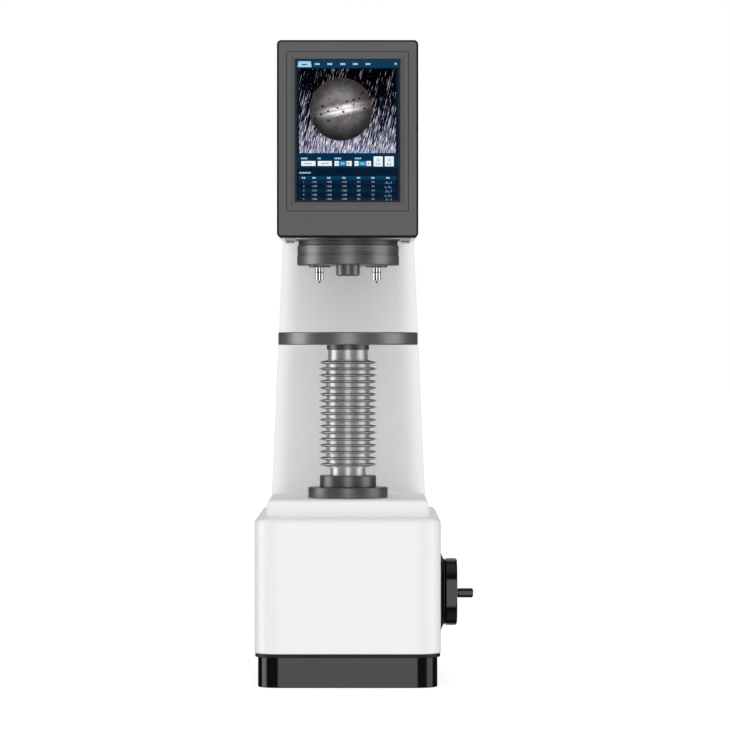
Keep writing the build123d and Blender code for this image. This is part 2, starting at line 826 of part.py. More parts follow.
bellows_pitch = (bellows_top - bellows_bottom) / (fins - 0.15)
first_fin = bellows_bottom + 0.42 * bellows_pitch
with BuildPart() as bellows:
    with BuildSketch(Plane.XZ):
        with BuildLine():
            outline = [(20.6, bellows_bottom), (bellows_valley_r, bellows_bottom)]
            for i in range(fins):
                z = first_fin + i * bellows_pitch
                outline += [
                    (bellows_valley_r, z - 1.7),
                    (bellows_valley_r + 2.2, z - 0.95),
                    (bellows_tip_r - 0.5, z - 0.35),
                    (bellows_tip_r, z),
                    (bellows_tip_r - 0.5, z + 0.35),
                    (bellows_valley_r + 2.2, z + 0.95),
                    (bellows_valley_r, z + 1.7),
                ]
            outline += [
                (bellows_valley_r, bellows_top),
                (20.6, bellows_top),
                (20.6, bellows_top - 1),
                (24.0, bellows_top - 1),
                (24.0, bellows_bottom + 1),
                (20.6, bellows_bottom + 1),
            ]
            Polyline(*outline, close=True)
        make_face()
    revolve(axis=Axis.Z)
bellows.part.label = "bellows"

with BuildPart() as upper_sleeve:
    with BuildSketch(Plane.XZ):
        Polygon(
            (screw_r, bellows_top),
            (upper_sleeve_r, bellows_top),
            (upper_sleeve_r, hub_bottom),
            (screw_r, hub_bottom),
        )
    revolve(axis=Axis.Z)
upper_sleeve.part.label = "upper_sleeve"

with BuildPart() as anvil_hub:
    with BuildSketch(Plane.XZ):
        Polygon(
            (screw_r, hub_bottom),
            (hub_r - 0.5, hub_bottom),
            (hub_r, hub_bottom + 0.5),
            (hub_r, anvil_bottom - 0.2),
            (screw_r, anvil_bottom - 0.2),
        )
    revolve(axis=Axis.Z)
anvil_hub.part.label = "anvil_hub"

with BuildPart() as anvil:
    with BuildSketch(Plane.XZ):
        Polygon(
            (0, 356),
            (9, 356),
            (10, 357),
            (10, anvil_bottom),
            (anvil_r, anvil_bottom),
            (anvil_r, anvil_top),
            (0, anvil_top),
        )
    revolve(axis=Axis.Z)
    fillet(
        anvil.edges().filter_by(
            lambda e: e.geom_type == GeomType.CIRCLE and e.radius > anvil_r - 0.1
        ),
        1.4,
    )
anvil.part.label = "anvil"

# ---------------------------------------------------------------- head

with BuildPart() as display_housing:
    with BuildSketch(Plane.XZ.offset(-arm_front)):
        with Locations((0, (head_bottom + head_top) / 2)):
            RectangleRounded(2 * head_hw, head_top - head_bottom, 5)
    extrude(amount=arm_front - head_front)
    fillet(display_housing.faces().sort_by(Axis.Y)[0].edges(), 2.4)
    with BuildSketch(Plane.XZ.offset(-arm_front + 3)):
        with Locations((0, (head_bottom + head_top) / 2)):
            RectangleRounded(2 * head_hw - 6, head_top - head_bottom - 6, 3)
    extrude(amount=arm_front - head_front - 8, mode=Mode.SUBTRACT)
    with BuildSketch(Plane.XZ.offset(-head_front)):
        with Locations((0, bezel_mid)):
            RectangleRounded(bezel_w + 1.0, bezel_h + 1.0, 1.3)
    extrude(amount=-5, mode=Mode.SUBTRACT)
    with BuildSketch(Plane.XZ.offset(-arm_front)):
        with Locations((0, 636)):
            RectangleRounded(90, 150, 8)
        with Locations(*[(x, 636 + z) for x in (-58, 58) for z in (-84, 84)]):
            Circle(2)
    extrude(amount=3, mode=Mode.SUBTRACT)
display_housing.part.label = "display_housing"

with BuildPart() as display_bezel:
    with BuildSketch(Plane.XZ.offset(-head_front)):
        with Locations((0, bezel_mid)):
            RectangleRounded(bezel_w, bezel_h, 0.8)
    extrude(amount=-5)
    chamfer(display_bezel.faces().sort_by(Axis.Y)[0].edges(), 0.4)
    with BuildSketch(Plane.XZ.offset(-head_front - 5)):
        with Locations((0, bezel_mid)):
            RectangleRounded(bezel_w + 9, bezel_h + 9, 6)
    extrude(amount=-2.5)
    # window: a wide bevel down to the glass, then a ledge behind it
    with BuildSketch(Plane.XZ.offset(-head_front)):
        with Locations((0, screen_mid)):
            Rectangle(screen_w + 2 * bevel_w, screen_h + 2 * bevel_w)
    with BuildSketch(Plane.XZ.offset(-head_front - bevel_d)):
        with Locations((0, screen_mid)):
            Rectangle(screen_w, screen_h)
    loft(mode=Mode.SUBTRACT)
    with BuildSketch(Plane.XZ.offset(-head_front - bevel_d)):
        with Locations((0, screen_mid)):
            Rectangle(screen_w, screen_h)
    extrude(amount=-1.8, mode=Mode.SUBTRACT)
    with BuildSketch(Plane.XZ.offset(-head_front - bevel_d - 1.8)):
        with Locations((0, screen_mid)):
            Rectangle(screen_w - 4, screen_h - 4)
    extrude(amount=-7.5 + bevel_d + 1.8, mode=Mode.SUBTRACT)
display_bezel.part.label = "display_bezel"

with BuildPart() as touch_glass:
    with BuildSketch(Plane.XZ.offset(-head_front - bevel_d)):
        with Locations((0, screen_mid)):
            Rectangle(screen_w, screen_h)
    extrude(amount=-1.8)
touch_glass.part.label = "touch_glass"

with BuildPart() as lcd_panel:
    with BuildSketch(Plane.XZ.offset(-head_front - 7.5)):
        with Locations((0, screen_mid)):
            Rectangle(screen_w + 6, screen_h + 8)
    extrude(amount=-6)
    with BuildSketch(Plane.XZ.offset(-head_front - 13.5)):
        with Locations((0, screen_mid - 20)):
            Rectangle(90, 60)
    extrude(amount=-8)
    with BuildSketch(Plane.XZ.offset(-head_front - 3.5)):
        with Locations((0, screen_mid)):
            Rectangle(screen_w - 5, screen_h - 5)
    extrude(amount=-4.0)
lcd_panel.part.label = "lcd_panel"

# Identical M4 screws: rear panel, rear cover and the head's back wall.
with BuildPart() as cover_screws:
    with BuildSketch(Plane.XZ.offset(-base_back)):
        with Locations(*[(x, 110 + z) for x in (-77, 77) for z in (-57, 57)]):
            Circle(3.6)
    extrude(amount=-2.2)
    with BuildSketch(Plane.XZ.offset(-base_back)):
        with Locations(*[(x, 110 + z) for x in (-77, 77) for z in (-57, 57)]):
            Circle(2)
    extrude(amount=9)
    with BuildSketch(Plane.XZ.offset(-column_back)):
        with Locations(
            *[
                (x, z)
                for x in (-cover_hw + 5, cover_hw - 5)
                for z in (cover_low + 5, (cover_low + cover_high) / 2, cover_high - 5)
            ]
        ):
            Circle(3.6)
    extrude(amount=-2.2)
    with BuildSketch(Plane.XZ.offset(-column_back)):
        with Locations(
            *[
                (x, z)
                for x in (-cover_hw + 5, cover_hw - 5)
                for z in (cover_low + 5, (cover_low + cover_high) / 2, cover_high - 5)
            ]
        ):
            Circle(2)
    extrude(amount=9)
    with BuildSketch(Plane.XZ.offset(-arm_front + 3)):
        with Locations(*[(x, 636 + z) for x in (-58, 58) for z in (-84, 84)]):
            Circle(3.6)
    extrude(amount=2.2)
    with BuildSketch(Plane.XZ.offset(-arm_front + 3)):
        with Locations(*[(x, 636 + z) for x in (-58, 58) for z in (-84, 84)]):
            Circle(2)
    extrude(amount=-9)
cover_screws.part.label = "cover_screws"

# ---------------------------------------------------------------- turret

with BuildPart() as turret_ring:
    with BuildSketch(turret_plane):
        Polygon(
            (50, turret_top + 0.4),
            (58.5, turret_top + 0.4),
            (58.5, 513.6),
            (58.0, 513.6),
            (58.0, 514.1),
            (58.5, 514.1),
            (58.5, 515.4),
            (66, 515.4),
            (66, arm_under),
            (50, arm_under),
        )
    revolve(axis=turret_axis)
turret_ring.part.label = "turret_ring"

with BuildPart() as turret_body:
    with BuildSketch(turret_plane):
        Polygon(
            (8, turret_bottom),
            (turret_r - 1.0, turret_bottom),
            (turret_r, turret_bottom + 1.0),
            (turret_r, 498.0),
            (turret_r - 1.3, 498.15),
            (turret_r - 1.3, 499.05),
            (turret_r - 0.1, 499.2),
            (turret_r - 0.1, 500.55),
            (turret_r - 1.1, 500.7),
            (turret_r - 1.1, 501.3),
            (turret_r - 0.4, 501.4),
            (turret_r - 0.4, turret_top - 0.5),
            (turret_r - 0.9, turret_top),
            (8, turret_top),
        )
    revolve(axis=turret_axis)
    with BuildSketch(Plane.XY.offset(turret_bottom)):
        Circle(objective_r)
    extrude(amount=498 - turret_bottom, mode=Mode.SUBTRACT)
    with BuildSketch(Plane.XY.offset(498)):
        Circle(15)
    extrude(amount=turret_top - 498, mode=Mode.SUBTRACT)
    with BuildSketch(Plane.XY.offset(turret_bottom)):
        with Locations((-index_r, turret_y), (index_r, turret_y)):
            Circle(8)
    extrude(amount=turret_top - turret_bottom, mode=Mode.SUBTRACT)
turret_body.part.label = "turret_body"

with BuildPart() as turret_axle:
    with BuildSketch(turret_plane):
        Polygon((0, turret_bottom), (8, turret_bottom), (8, 573), (7, 574), (0, 574))
    revolve(axis=turret_axis)
turret_axle.part.label = "turret_axle"

with BuildPart() as turret_bearing:
    with BuildSketch(turret_plane):
        Polygon(
            (8 + gap, arm_under), (16, arm_under), (16, 541), (8 + gap, 541)
        )
    revolve(axis=turret_axis)
turret_bearing.part.label = "turret_bearing"

with BuildPart() as turret_motor:
    with BuildSketch(Plane.XY.offset(541)):
        with Locations((0, turret_y)):
            with GridLocations(26, 26, 2, 2):
                Circle(2.5)
    extrude(amount=19)
    with BuildSketch(Plane.XY.offset(560)):
        with Locations((0, turret_y)):
            RectangleRounded(35, 35, 3)
    extrude(amount=24)
    with BuildSketch(turret_plane):
        Polygon((0, 560), (8 + gap, 560), (8 + gap, 575), (0, 575))
    revolve(axis=turret_axis, mode=Mode.SUBTRACT)
turret_motor.part.label = "turret_motor"

with BuildPart() as objective_barrel:
    with BuildSketch(Plane.XZ):
        Polygon(
            (9, objective_bottom + 3),
            (10.5, objective_bottom),
            (objective_r - 1.2, objective_bottom),
            (objective_r, objective_bottom + 1.2),
            (objective_r, 481.2),
            (objective_r - 0.35, 481.3),
            (objective_r - 0.35, 481.7),
            (objective_r, 481.8),
            (objective_r, 498),
            (9, 498),
        )
    revolve(axis=Axis.Z)
objective_barrel.part.label = "objective_barrel"

with BuildPart() as objective_lens:
    with BuildSketch(Plane.XZ):
        Polygon((0, 477), (7, 477), (9, 478), (9, 481), (0, 481))
    revolve(axis=Axis.Z)
objective_lens.part.label = "objective_lens"

with BuildPart() as camera_module:
    with BuildSketch(Plane.XZ):
        Polygon((0, 498), (15, 498), (15, 507.5), (12, 509.4), (0, 509.4))
    revolve(axis=Axis.Z)
camera_module.part.label = "camera_module"

with BuildPart() as indenter_bushes:
    for side in (-1, 1):
        with BuildSketch(
            Plane(origin=(side * index_r, turret_y, 0), x_dir=(1, 0, 0), z_dir=(0, -1, 0))
        ):
            Polygon(
                (indenter_r + gap, 484.4),
                (12.35, 484.4),
                (12.65, 484.7),
                (12.65, turret_bottom),
                (8, turret_bottom),
                (8, 505.5),
                (indenter_r + gap, 505.5),
            )
        revolve(axis=Axis((side * index_r, turret_y, 0), (0, 0, 1)))
indenter_bushes.part.label = "indenter_bushes"


def indenter_points():
    return [
        (0, 467.6),
        (1.15, 467.6),
        (indenter_r - 0.4, 469.0),
        (indenter_r, 469.4),
        (indenter_r, 478.2),
        (indenter_r - 0.45, 478.3),
        (indenter_r - 0.45, 479.0),
        (indenter_r, 479.1),
        (indenter_r, 508),
        (7.2, 508),
        (7.2, 512),
        (0, 512),
    ]


with BuildPart() as left_indenter:
    with BuildSketch(
        Plane(origin=(-index_r, turret_y, 0), x_dir=(1, 0, 0), z_dir=(0, -1, 0))
    ):
        Polygon(*indenter_points())
    revolve(axis=Axis((-index_r, turret_y, 0), (0, 0, 1)))
    with Locations((-index_r, turret_y, indenter_tip + ball_r)):
        Sphere(ball_r, mode=Mode.SUBTRACT)
left_indenter.part.label = "left_indenter"

with BuildPart() as right_indenter:
    with BuildSketch(
        Plane(origin=(index_r, turret_y, 0), x_dir=(1, 0, 0), z_dir=(0, -1, 0))
    ):
        Polygon(*indenter_points())
    revolve(axis=Axis((index_r, turret_y, 0), (0, 0, 1)))
    with Locations((index_r, turret_y, indenter_tip + ball_r)):
        Sphere(ball_r, mode=Mode.SUBTRACT)
right_indenter.part.label = "right_indenter"

with BuildPart() as left_ball:
    with Locations((-index_r, turret_y, indenter_tip + ball_r)):
        Sphere(ball_r)
left_ball.part.label = "left_ball"

with BuildPart() as right_ball:
    with Locations((index_r, turret_y, indenter_tip + ball_r)):
        Sphere(ball_r)
right_ball.part.label = "right_ball"

# ---------------------------------------------------------------- load train

with BuildPart() as spindle_guide:
    with BuildSketch(Plane.XZ):
        Polygon((7 + gap, arm_under), (12, arm_under), (12, 545), (7 + gap, 545))
    revolve(axis=Axis.Z)
spindle_guide.part.label = "spindle_guide"

with BuildPart() as load_spindle:
    with BuildSketch(Plane.XZ):
        Polygon((0, 519), (6, 519), (7, 520), (7, 595), (0, 595))
    revolve(axis=Axis.Z)
load_spindle.part.label = "load_spindle"

with BuildPart() as load_cell:
    with BuildSketch(Plane.XZ):
        Polygon(
            (0, 595), (10, 595), (10, 598), (25, 598), (25, 604), (22, 605.5),
            (22, 611.5), (25, 613), (25, 618), (12, 618), (12, 621), (0, 621),
        )
    revolve(axis=Axis.Z)
load_cell.part.label = "load_cell"

with BuildPart() as crosshead:
    with BuildSketch(Plane.XY.offset(621)):
        RectangleRounded(112, 40, 6)
        with Locations((-45, 0), (45, 0)):
            Circle(6 + gap, mode=Mode.SUBTRACT)
    extrude(amount=20)
    with BuildSketch(Plane.XY.offset(627)):
        Circle(8 + gap)
    extrude(amount=14, mode=Mode.SUBTRACT)
crosshead.part.label = "crosshead"

with BuildPart() as guide_rods:
    with BuildSketch(Plane.XY.offset(arm_under + 10)):
        with Locations((-45, 0), (45, 0)):
            Circle(6)
    extrude(amount=680 - arm_under - 10)
guide_rods.part.label = "guide_rods"

with BuildPart() as load_plate:
    with BuildSketch(Plane.XY.offset(680)):
        RectangleRounded(112, 62, 6)
        Circle(8 + gap, mode=Mode.SUBTRACT)
    extrude(amount=7)
load_plate.part.label = "load_plate"

with BuildPart() as ball_screw:
    with BuildSketch(Plane.XZ):
        Polygon((0, 634.5), (7, 634.5), (8, 635.5), (8, 699), (0, 699))
    revolve(axis=Axis.Z)
ball_screw.part.label = "ball_screw"

with BuildPart() as load_motor:
    with BuildSketch(Plane.XY.offset(687)):
        RectangleRounded(57, 57, 4)
    extrude(amount=37)
    with BuildSketch(Plane.XY.offset(687)):
        Circle(8 + gap)
    extrude(amount=14, mode=Mode.SUBTRACT)
load_motor.part.label = "load_motor"

# ---------------------------------------------------------------- files

export_step(base_plate.part, "parts/base_plate.step")
export_step(levelling_screws.part, "parts/levelling_screws.step")
export_step(plinth_skirt.part, "parts/plinth_skirt.step")
export_step(base_casting.part, "parts/base_casting.step")
export_step(base_rear_panel.part, "parts/base_rear_panel.step")
export_step(cover_screws.part, "parts/cover_screws.step")
export_step(frame_casting.part, "parts/frame_casting.step")
export_step(frame_bolts.part, "parts/frame_bolts.step")
export_step(rear_cover.part, "parts/rear_cover.step")
export_step(power_inlet.part, "parts/power_inlet.step")
export_step(switch_body.part, "parts/switch_body.step")
export_step(switch_rocker.part, "parts/switch_rocker.step")
export_step(data_ports.part, "parts/data_ports.step")
export_step(power_supply.part, "parts/power_supply.step")
export_step(control_board.part, "parts/control_board.step")
export_step(nut_housing.part, "parts/nut_housing.step")
export_step(thrust_bearing.part, "parts/thrust_bearing.step")
export_step(screw_nut.part, "parts/screw_nut.step")
export_step(bevel_gear.part, "parts/bevel_gear.step")
export_step(bevel_pinion.part, "parts/bevel_pinion.step")
export_step(handwheel_shaft.part, "parts/handwheel_shaft.step")
export_step(shaft_bearings.part, "parts/shaft_bearings.step")
export_step(bearing_flange.part, "parts/bearing_flange.step")
export_step(handwheel.part, "parts/handwheel.step")
export_step(grip_spindle.part, "parts/grip_spindle.step")
export_step(grip_sleeve.part, "parts/grip_sleeve.step")
export_step(elevating_screw.part, "parts/elevating_screw.step")
export_step(guide_key.part, "parts/guide_key.step")
export_step(base_flange.part, "parts/base_flange.step")
export_step(guide_collar.part, "parts/guide_collar.step")
export_step(lower_sleeve.part, "parts/lower_sleeve.step")
export_step(bellows.part, "parts/bellows.step")
export_step(upper_sleeve.part, "parts/upper_sleeve.step")
export_step(anvil_hub.part, "parts/anvil_hub.step")
export_step(anvil.part, "parts/anvil.step")
export_step(display_housing.part, "parts/display_housing.step")
export_step(display_bezel.part, "parts/display_bezel.step")
export_step(touch_glass.part, "parts/touch_glass.step")
export_step(lcd_panel.part, "parts/lcd_panel.step")
export_step(turret_ring.part, "parts/turret_ring.step")
export_step(turret_body.part, "parts/turret_body.step")
export_step(turret_axle.part, "parts/turret_axle.step")
export_step(turret_bearing.part, "parts/turret_bearing.step")
export_step(turret_motor.part, "parts/turret_motor.step")
export_step(objective_barrel.part, "parts/objective_barrel.step")
export_step(objective_lens.part, "parts/objective_lens.step")
export_step(camera_module.part, "parts/camera_module.step")
export_step(indenter_bushes.part, "parts/indenter_bushes.step")
export_step(left_indenter.part, "parts/left_indenter.step")
export_step(left_ball.part, "parts/left_ball.step")
export_step(right_indenter.part, "parts/right_indenter.step")
export_step(right_ball.part, "parts/right_ball.step")
export_step(load_spindle.part, "parts/load_spindle.step")
export_step(spindle_guide.part, "parts/spindle_guide.step")
export_step(load_cell.part, "parts/load_cell.step")
export_step(crosshead.part, "parts/crosshead.step")
export_step(ball_screw.part, "parts/ball_screw.step")
export_step(guide_rods.part, "parts/guide_rods.step")
export_step(load_plate.part, "parts/load_plate.step")
export_step(load_motor.part, "parts/load_motor.step")
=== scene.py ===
import math

import bmesh
import bpy
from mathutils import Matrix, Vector


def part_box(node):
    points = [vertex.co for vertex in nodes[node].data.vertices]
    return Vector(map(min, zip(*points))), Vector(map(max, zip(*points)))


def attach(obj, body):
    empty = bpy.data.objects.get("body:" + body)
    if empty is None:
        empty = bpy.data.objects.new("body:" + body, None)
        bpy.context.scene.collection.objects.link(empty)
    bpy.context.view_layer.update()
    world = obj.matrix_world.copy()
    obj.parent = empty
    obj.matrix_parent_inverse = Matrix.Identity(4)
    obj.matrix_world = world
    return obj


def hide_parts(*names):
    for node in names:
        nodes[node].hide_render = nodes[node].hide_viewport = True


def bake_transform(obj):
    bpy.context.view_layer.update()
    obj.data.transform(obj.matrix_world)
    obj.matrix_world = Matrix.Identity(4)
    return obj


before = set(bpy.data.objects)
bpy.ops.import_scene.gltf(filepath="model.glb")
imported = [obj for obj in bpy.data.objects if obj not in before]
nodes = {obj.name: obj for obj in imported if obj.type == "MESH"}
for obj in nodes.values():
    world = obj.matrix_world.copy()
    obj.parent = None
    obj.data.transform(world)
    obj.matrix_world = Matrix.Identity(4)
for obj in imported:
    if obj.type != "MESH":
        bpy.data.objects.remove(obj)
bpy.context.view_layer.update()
scene = bpy.context.scene
scene.view_settings.view_transform = "Standard"
scene.view_settings.look = "None"

MM = 0.001

# ---------------------------------------------------------------- camera
# long lens, level, in front of the tester and a little to its right
camera_data = bpy.data.cameras.new("camera")
camera_data.sensor_width = 36.0
camera_data.lens = 207.1
camera_data.shift_y = -8 / 730
camera_data.clip_start = 0.1
camera_data.clip_end = 200
camera = bpy.data.objects.new("camera", camera_data)
scene.collection.objects.link(camera)
camera.location = (0.0199, -4.914, 0.3789)
camera.rotation_euler = (math.radians(90), 0, 0)
scene.camera = camera


# ---------------------------------------------------------------- node helpers
class Tree:
    """Short names for making shader nodes."""

    def __init__(self, tree):
        self.t = tree
        self.t.nodes.clear()

    def node(self, kind, **settings):
        n = self.t.nodes.new(kind)
        for k, v in settings.items():
            setattr(n, k, v)
        return n

    def put(self, socket, value):
        if isinstance(value, bpy.types.NodeSocket):
            self.t.links.new(value, socket)
        elif value is not None:
            socket.default_value = value

    def math(self, op, a, b=None, c=None, clamp=False):
        n = self.node("ShaderNodeMath", operation=op, use_clamp=clamp)
        self.put(n.inputs[0], a)
        if b is not None:
            self.put(n.inputs[1], b)
        if c is not None:
            self.put(n.inputs[2], c)
        return n.outputs[0]

    def ramp(self, value, low, high, to_low=0.0, to_high=1.0, smooth=True):
        n = self.node(
            "ShaderNodeMapRange",
            interpolation_type="SMOOTHSTEP" if smooth else "LINEAR",
            clamp=True,
        )
        self.put(n.inputs["Value"], value)
        n.inputs["From Min"].default_value = low
        n.inputs["From Max"].default_value = high
        n.inputs["To Min"].default_value = to_low
        n.inputs["To Max"].default_value = to_high
        return n.outputs["Result"]

    def mix(self, factor, a, b, blend="MIX"):
        n = self.node("ShaderNodeMix", data_type="RGBA", blend_type=blend)
        self.put(n.inputs[0], factor)
        self.put(n.inputs[6], a)
        self.put(n.inputs[7], b)
        return n.outputs[2]

    def split(self, vector):
        n = self.node("ShaderNodeSeparateXYZ")
        self.put(n.inputs[0], vector)
        return n.outputs[0], n.outputs[1], n.outputs[2]

    def join(self, x, y, z):
        n = self.node("ShaderNodeCombineXYZ")
        for i, v in enumerate((x, y, z)):
            self.put(n.inputs[i], v)
        return n.outputs[0]

    def place(self):
        return self.node("ShaderNodeTexCoord").outputs["Object"]

    def noise(self, vector, scale, detail=2.0, roughness=0.5, distortion=0.0):
        n = self.node("ShaderNodeTexNoise")
        self.put(n.inputs["Vector"], vector)
        n.inputs["Scale"].default_value = scale
        n.inputs["Detail"].default_value = detail
        n.inputs["Roughness"].default_value = roughness
        n.inputs["Distortion"].default_value = distortion
        return n.outputs["Fac"]

    def bump(self, height, strength, distance, normal=None):
        n = self.node("ShaderNodeBump")
        n.inputs["Strength"].default_value = strength
        n.inputs["Distance"].default_value = distance
        self.put(n.inputs["Height"], height)
        if normal is not None:
            self.put(n.inputs["Normal"], normal)
        return n.outputs["Normal"]


def surface(name):
    """A material with an empty Principled shader, and its tree."""
    m = bpy.data.materials.new(name)
    m.use_nodes = True
    t = Tree(m.node_tree)
    out = t.node("ShaderNodeOutputMaterial")
    p = t.node("ShaderNodeBsdfPrincipled")
    t.put(out.inputs["Surface"], p.outputs["BSDF"])
    return m, t, p


def rgb(value, tint=(1, 1, 1)):
    return (value * tint[0], value * tint[1], value * tint[2], 1)


# ---------------------------------------------------------------- studio
# Soft white light from all round. Shiny surfaces see a dark room with a tall
# light in front, one at each side, one behind and a soft ceiling.
world = bpy.data.worlds.new("studio")
world.use_nodes = True
scene.world = world
t = Tree(world.node_tree)
direction = t.node("ShaderNodeTexCoord").outputs["Generated"]
unit = t.node("ShaderNodeVectorMath", operation="NORMALIZE")
t.put(unit.inputs[0], direction)
dx, dy, dz = t.split(unit.outputs[0])
azimuth = t.math("ARCTAN2", dx, t.math("MULTIPLY", dy, -1.0))
elevation = t.math("ARCSINE", dz)
rad = math.radians


def card(az, az_half, low, high, level, soft=3.0, fold=False):
    """A light card seen by reflections. Azimuth 0 is the camera's side, positive to the right."""
    a = azimuth
    if fold:
        a = t.math("ABSOLUTE", azimuth)
    off = t.math("ABSOLUTE", t.math("SUBTRACT", a, rad(az)))
    across = t.ramp(off, rad(az_half - soft), rad(az_half + soft), 1.0, 0.0)
    up = t.ramp(elevation, rad(low - 6), rad(low + 6))
    down = t.ramp(elevation, rad(high - 6), rad(high + 6), 1.0, 0.0)
    return t.math("MULTIPLY", t.math("MULTIPLY", across, up), t.math("MULTIPLY", down, level))


cards = [
    card(0, 11, -50, 44, 1.85, soft=2.5),
    card(-90, 16, -40, 60, 2.4, soft=5.0),
    card(80, 19, -40, 60, 1.5, soft=6.0),
    card(180, 12, -40, 50, 0.60, soft=4.0, fold=True),
    t.math("MULTIPLY", t.ramp(elevation, rad(55), rad(80)), 0.35),
    t.math("MULTIPLY", t.ramp(elevation, rad(-80), rad(-60), 1.0, 0.0), 0.15),
]
total = 0.012
for c in cards:
    total = t.math("ADD", total, c)
path = t.node("ShaderNodeLightPath")
soft_white = t.node("ShaderNodeBackground")
# stronger from the front, weaker from above and behind
frontal = t.math("MULTIPLY_ADD", dy, -0.15, 1.01)
t.put(soft_white.inputs["Strength"], t.math("MULTIPLY_ADD", dz, -0.27, frontal))
soft_white.inputs["Color"].default_value = (1.0, 1.0, 1.0, 1)
seen_in_gloss = t.node("ShaderNodeBackground")
t.put(seen_in_gloss.inputs["Strength"], total)
seen_in_gloss.inputs["Color"].default_value = (1.0, 1.0, 1.0, 1)
plain_white = t.node("ShaderNodeBackground")
plain_white.inputs["Color"].default_value = (1.0, 1.0, 1.0, 1)
plain_white.inputs["Strength"].default_value = 1.0
first = t.node("ShaderNodeMixShader")
t.put(first.inputs[0], path.outputs["Is Glossy Ray"])
t.put(first.inputs[1], soft_white.outputs[0])
t.put(first.inputs[2], seen_in_gloss.outputs[0])
second = t.node("ShaderNodeMixShader")
t.put(second.inputs[0], path.outputs["Is Camera Ray"])
t.put(second.inputs[1], first.outputs[0])
t.put(second.inputs[2], plain_white.outputs[0])
out = t.node("ShaderNodeOutputWorld")
t.put(out.inputs["Surface"], second.outputs[0])

floor_mesh = bpy.data.meshes.new("floor")
bm = bmesh.new()
bmesh.ops.create_grid(bm, x_segments=1, y_segments=1, size=40)
bm.to_mesh(floor_mesh)
bm.free()
floor = bpy.data.objects.new("floor", floor_mesh)
scene.collection.objects.link(floor)
floor_mat, t, p = surface("floor_white")
p.inputs["Base Color"].default_value = rgb(0.42)
p.inputs["Roughness"].default_value = 0.9
p.inputs["Specular IOR Level"].default_value = 0.0
p.inputs["Emission Color"].default_value = (1, 1, 1, 1)
p.inputs["Emission Strength"].default_value = 0.78
floor_mesh.materials.append(floor_mat)
floor.location = (0, 0, -0.0002)
floor.visible_glossy = False


# ---------------------------------------------------------------- materials
def paint(name, colour, rough, coat, peel=0.045, spec=0.5, mottled=0.006):
    """Sprayed enamel: a fine orange peel, slight clouding of the colour, and an uneven gloss."""
    m, t, p = surface(name)
    where = t.place()
    cloud = t.noise(where, 9.0, 3.0, 0.5)
    low = tuple(c * (1 - mottled) for c in colour) + (1,)
    high = tuple(min(1.0, c * (1 + mottled)) for c in colour) + (1,)
    t.put(p.inputs["Base Color"], t.mix(cloud, low, high))
    gloss = t.noise(where, 55.0, 3.0, 0.6)
    t.put(p.inputs["Roughness"], t.ramp(gloss, 0.3, 0.7, rough - 0.015, rough + 0.02))
    p.inputs["Coat Weight"].default_value = coat
    p.inputs["Coat Roughness"].default_value = 0.06
    p.inputs["Specular IOR Level"].default_value = spec
    fine = t.noise(where, 620.0, 2.0, 0.5)
    t.put(p.inputs["Normal"], t.bump(fine, peel, 0.00012))
    return m


def black_gloss(name, rough=0.07):
    m, t, p = surface(name)
    where = t.place()
    cloud = t.noise(where, 14.0, 3.0)
    t.put(p.inputs["Base Color"], t.mix(cloud, rgb(0.0032), rgb(0.0052, (1, 1, 1.05))))
    smears = t.noise(where, 38.0, 4.0, 0.65, 0.4)
    t.put(p.inputs["Roughness"], t.ramp(smears, 0.35, 0.75, rough, rough + 0.05))
    p.inputs["Specular IOR Level"].default_value = 0.5
    fine = t.noise(where, 480.0, 2.0)
    t.put(p.inputs["Normal"], t.bump(fine, 0.025, 0.0001))
    return m


def head_finish(name, front=0.060, edge=0.006, gloss=0.42, black_sides_and_edge_shade=True):
    """Dark grey satin on the flat front and back; the sides are matt black, and the rounded edges are painted the same
    black as painted shade where they turn away from the front.
    """
    m, t, p = surface(name)
    where = t.place()
    cloud = t.noise(where, 11.0, 3.0)
    grain = t.noise(where, 2600.0, 1.0, 0.5)
    grey = t.mix(cloud, rgb(front * 0.95), rgb(front * 1.05, (1, 1, 1.02)))
    grey = t.mix(t.ramp(grain, 0.3, 0.7, 0.0, 0.22), grey, rgb(front * 1.5))
    t.put(p.inputs["Base Color"], grey)
    t.put(p.inputs["Roughness"], t.ramp(cloud, 0.3, 0.7, 0.21, 0.27))
    p.inputs["Specular IOR Level"].default_value = gloss
    t.put(p.inputs["Normal"], t.bump(grain, 0.10, 0.00006))
    if black_sides_and_edge_shade:
        # painted shade: where the normal turns from the front the finish switches to matt black, so the rounded edges
        # show a dark band; the sides are black paint
        geo = t.node("ShaderNodeNewGeometry")
        _, ny, _ = t.split(geo.outputs["Normal"])
        facing = t.ramp(t.math("ABSOLUTE", ny), 0.975, 0.999)
        dark = t.node("ShaderNodeBsdfPrincipled")
        t.put(dark.inputs["Base Color"], t.mix(cloud, rgb(edge * 0.8), rgb(edge * 1.4)))
        t.put(dark.inputs["Roughness"], t.ramp(grain, 0.3, 0.7, 0.36, 0.48))
        dark.inputs["Specular IOR Level"].default_value = 0.03
        both = t.node("ShaderNodeMixShader")
        t.put(both.inputs[0], facing)
        t.put(both.inputs[1], dark.outputs[0])
        t.put(both.inputs[2], p.outputs[0])
        end = [n for n in t.t.nodes if n.type == "OUTPUT_MATERIAL"][0]
        t.put(end.inputs["Surface"], both.outputs[0])
    return m


def polar(t, centre, axis):
    """Distance from the turning axis, place along it and angle about it."""
    x, y, z = t.split(t.place())
    if axis == "Z":
        a, b, along = t.math("SUBTRACT", x, centre[0]), t.math("SUBTRACT", y, centre[1]), z
    else:
        a, b, along = t.math("SUBTRACT", y, centre[0]), t.math("SUBTRACT", z, centre[1]), x
    radius = t.math("SQRT", t.math("ADD", t.math("MULTIPLY", a, a), t.math("MULTIPLY", b, b)))
    return radius, along, t.math("ARCTAN2", a, b)


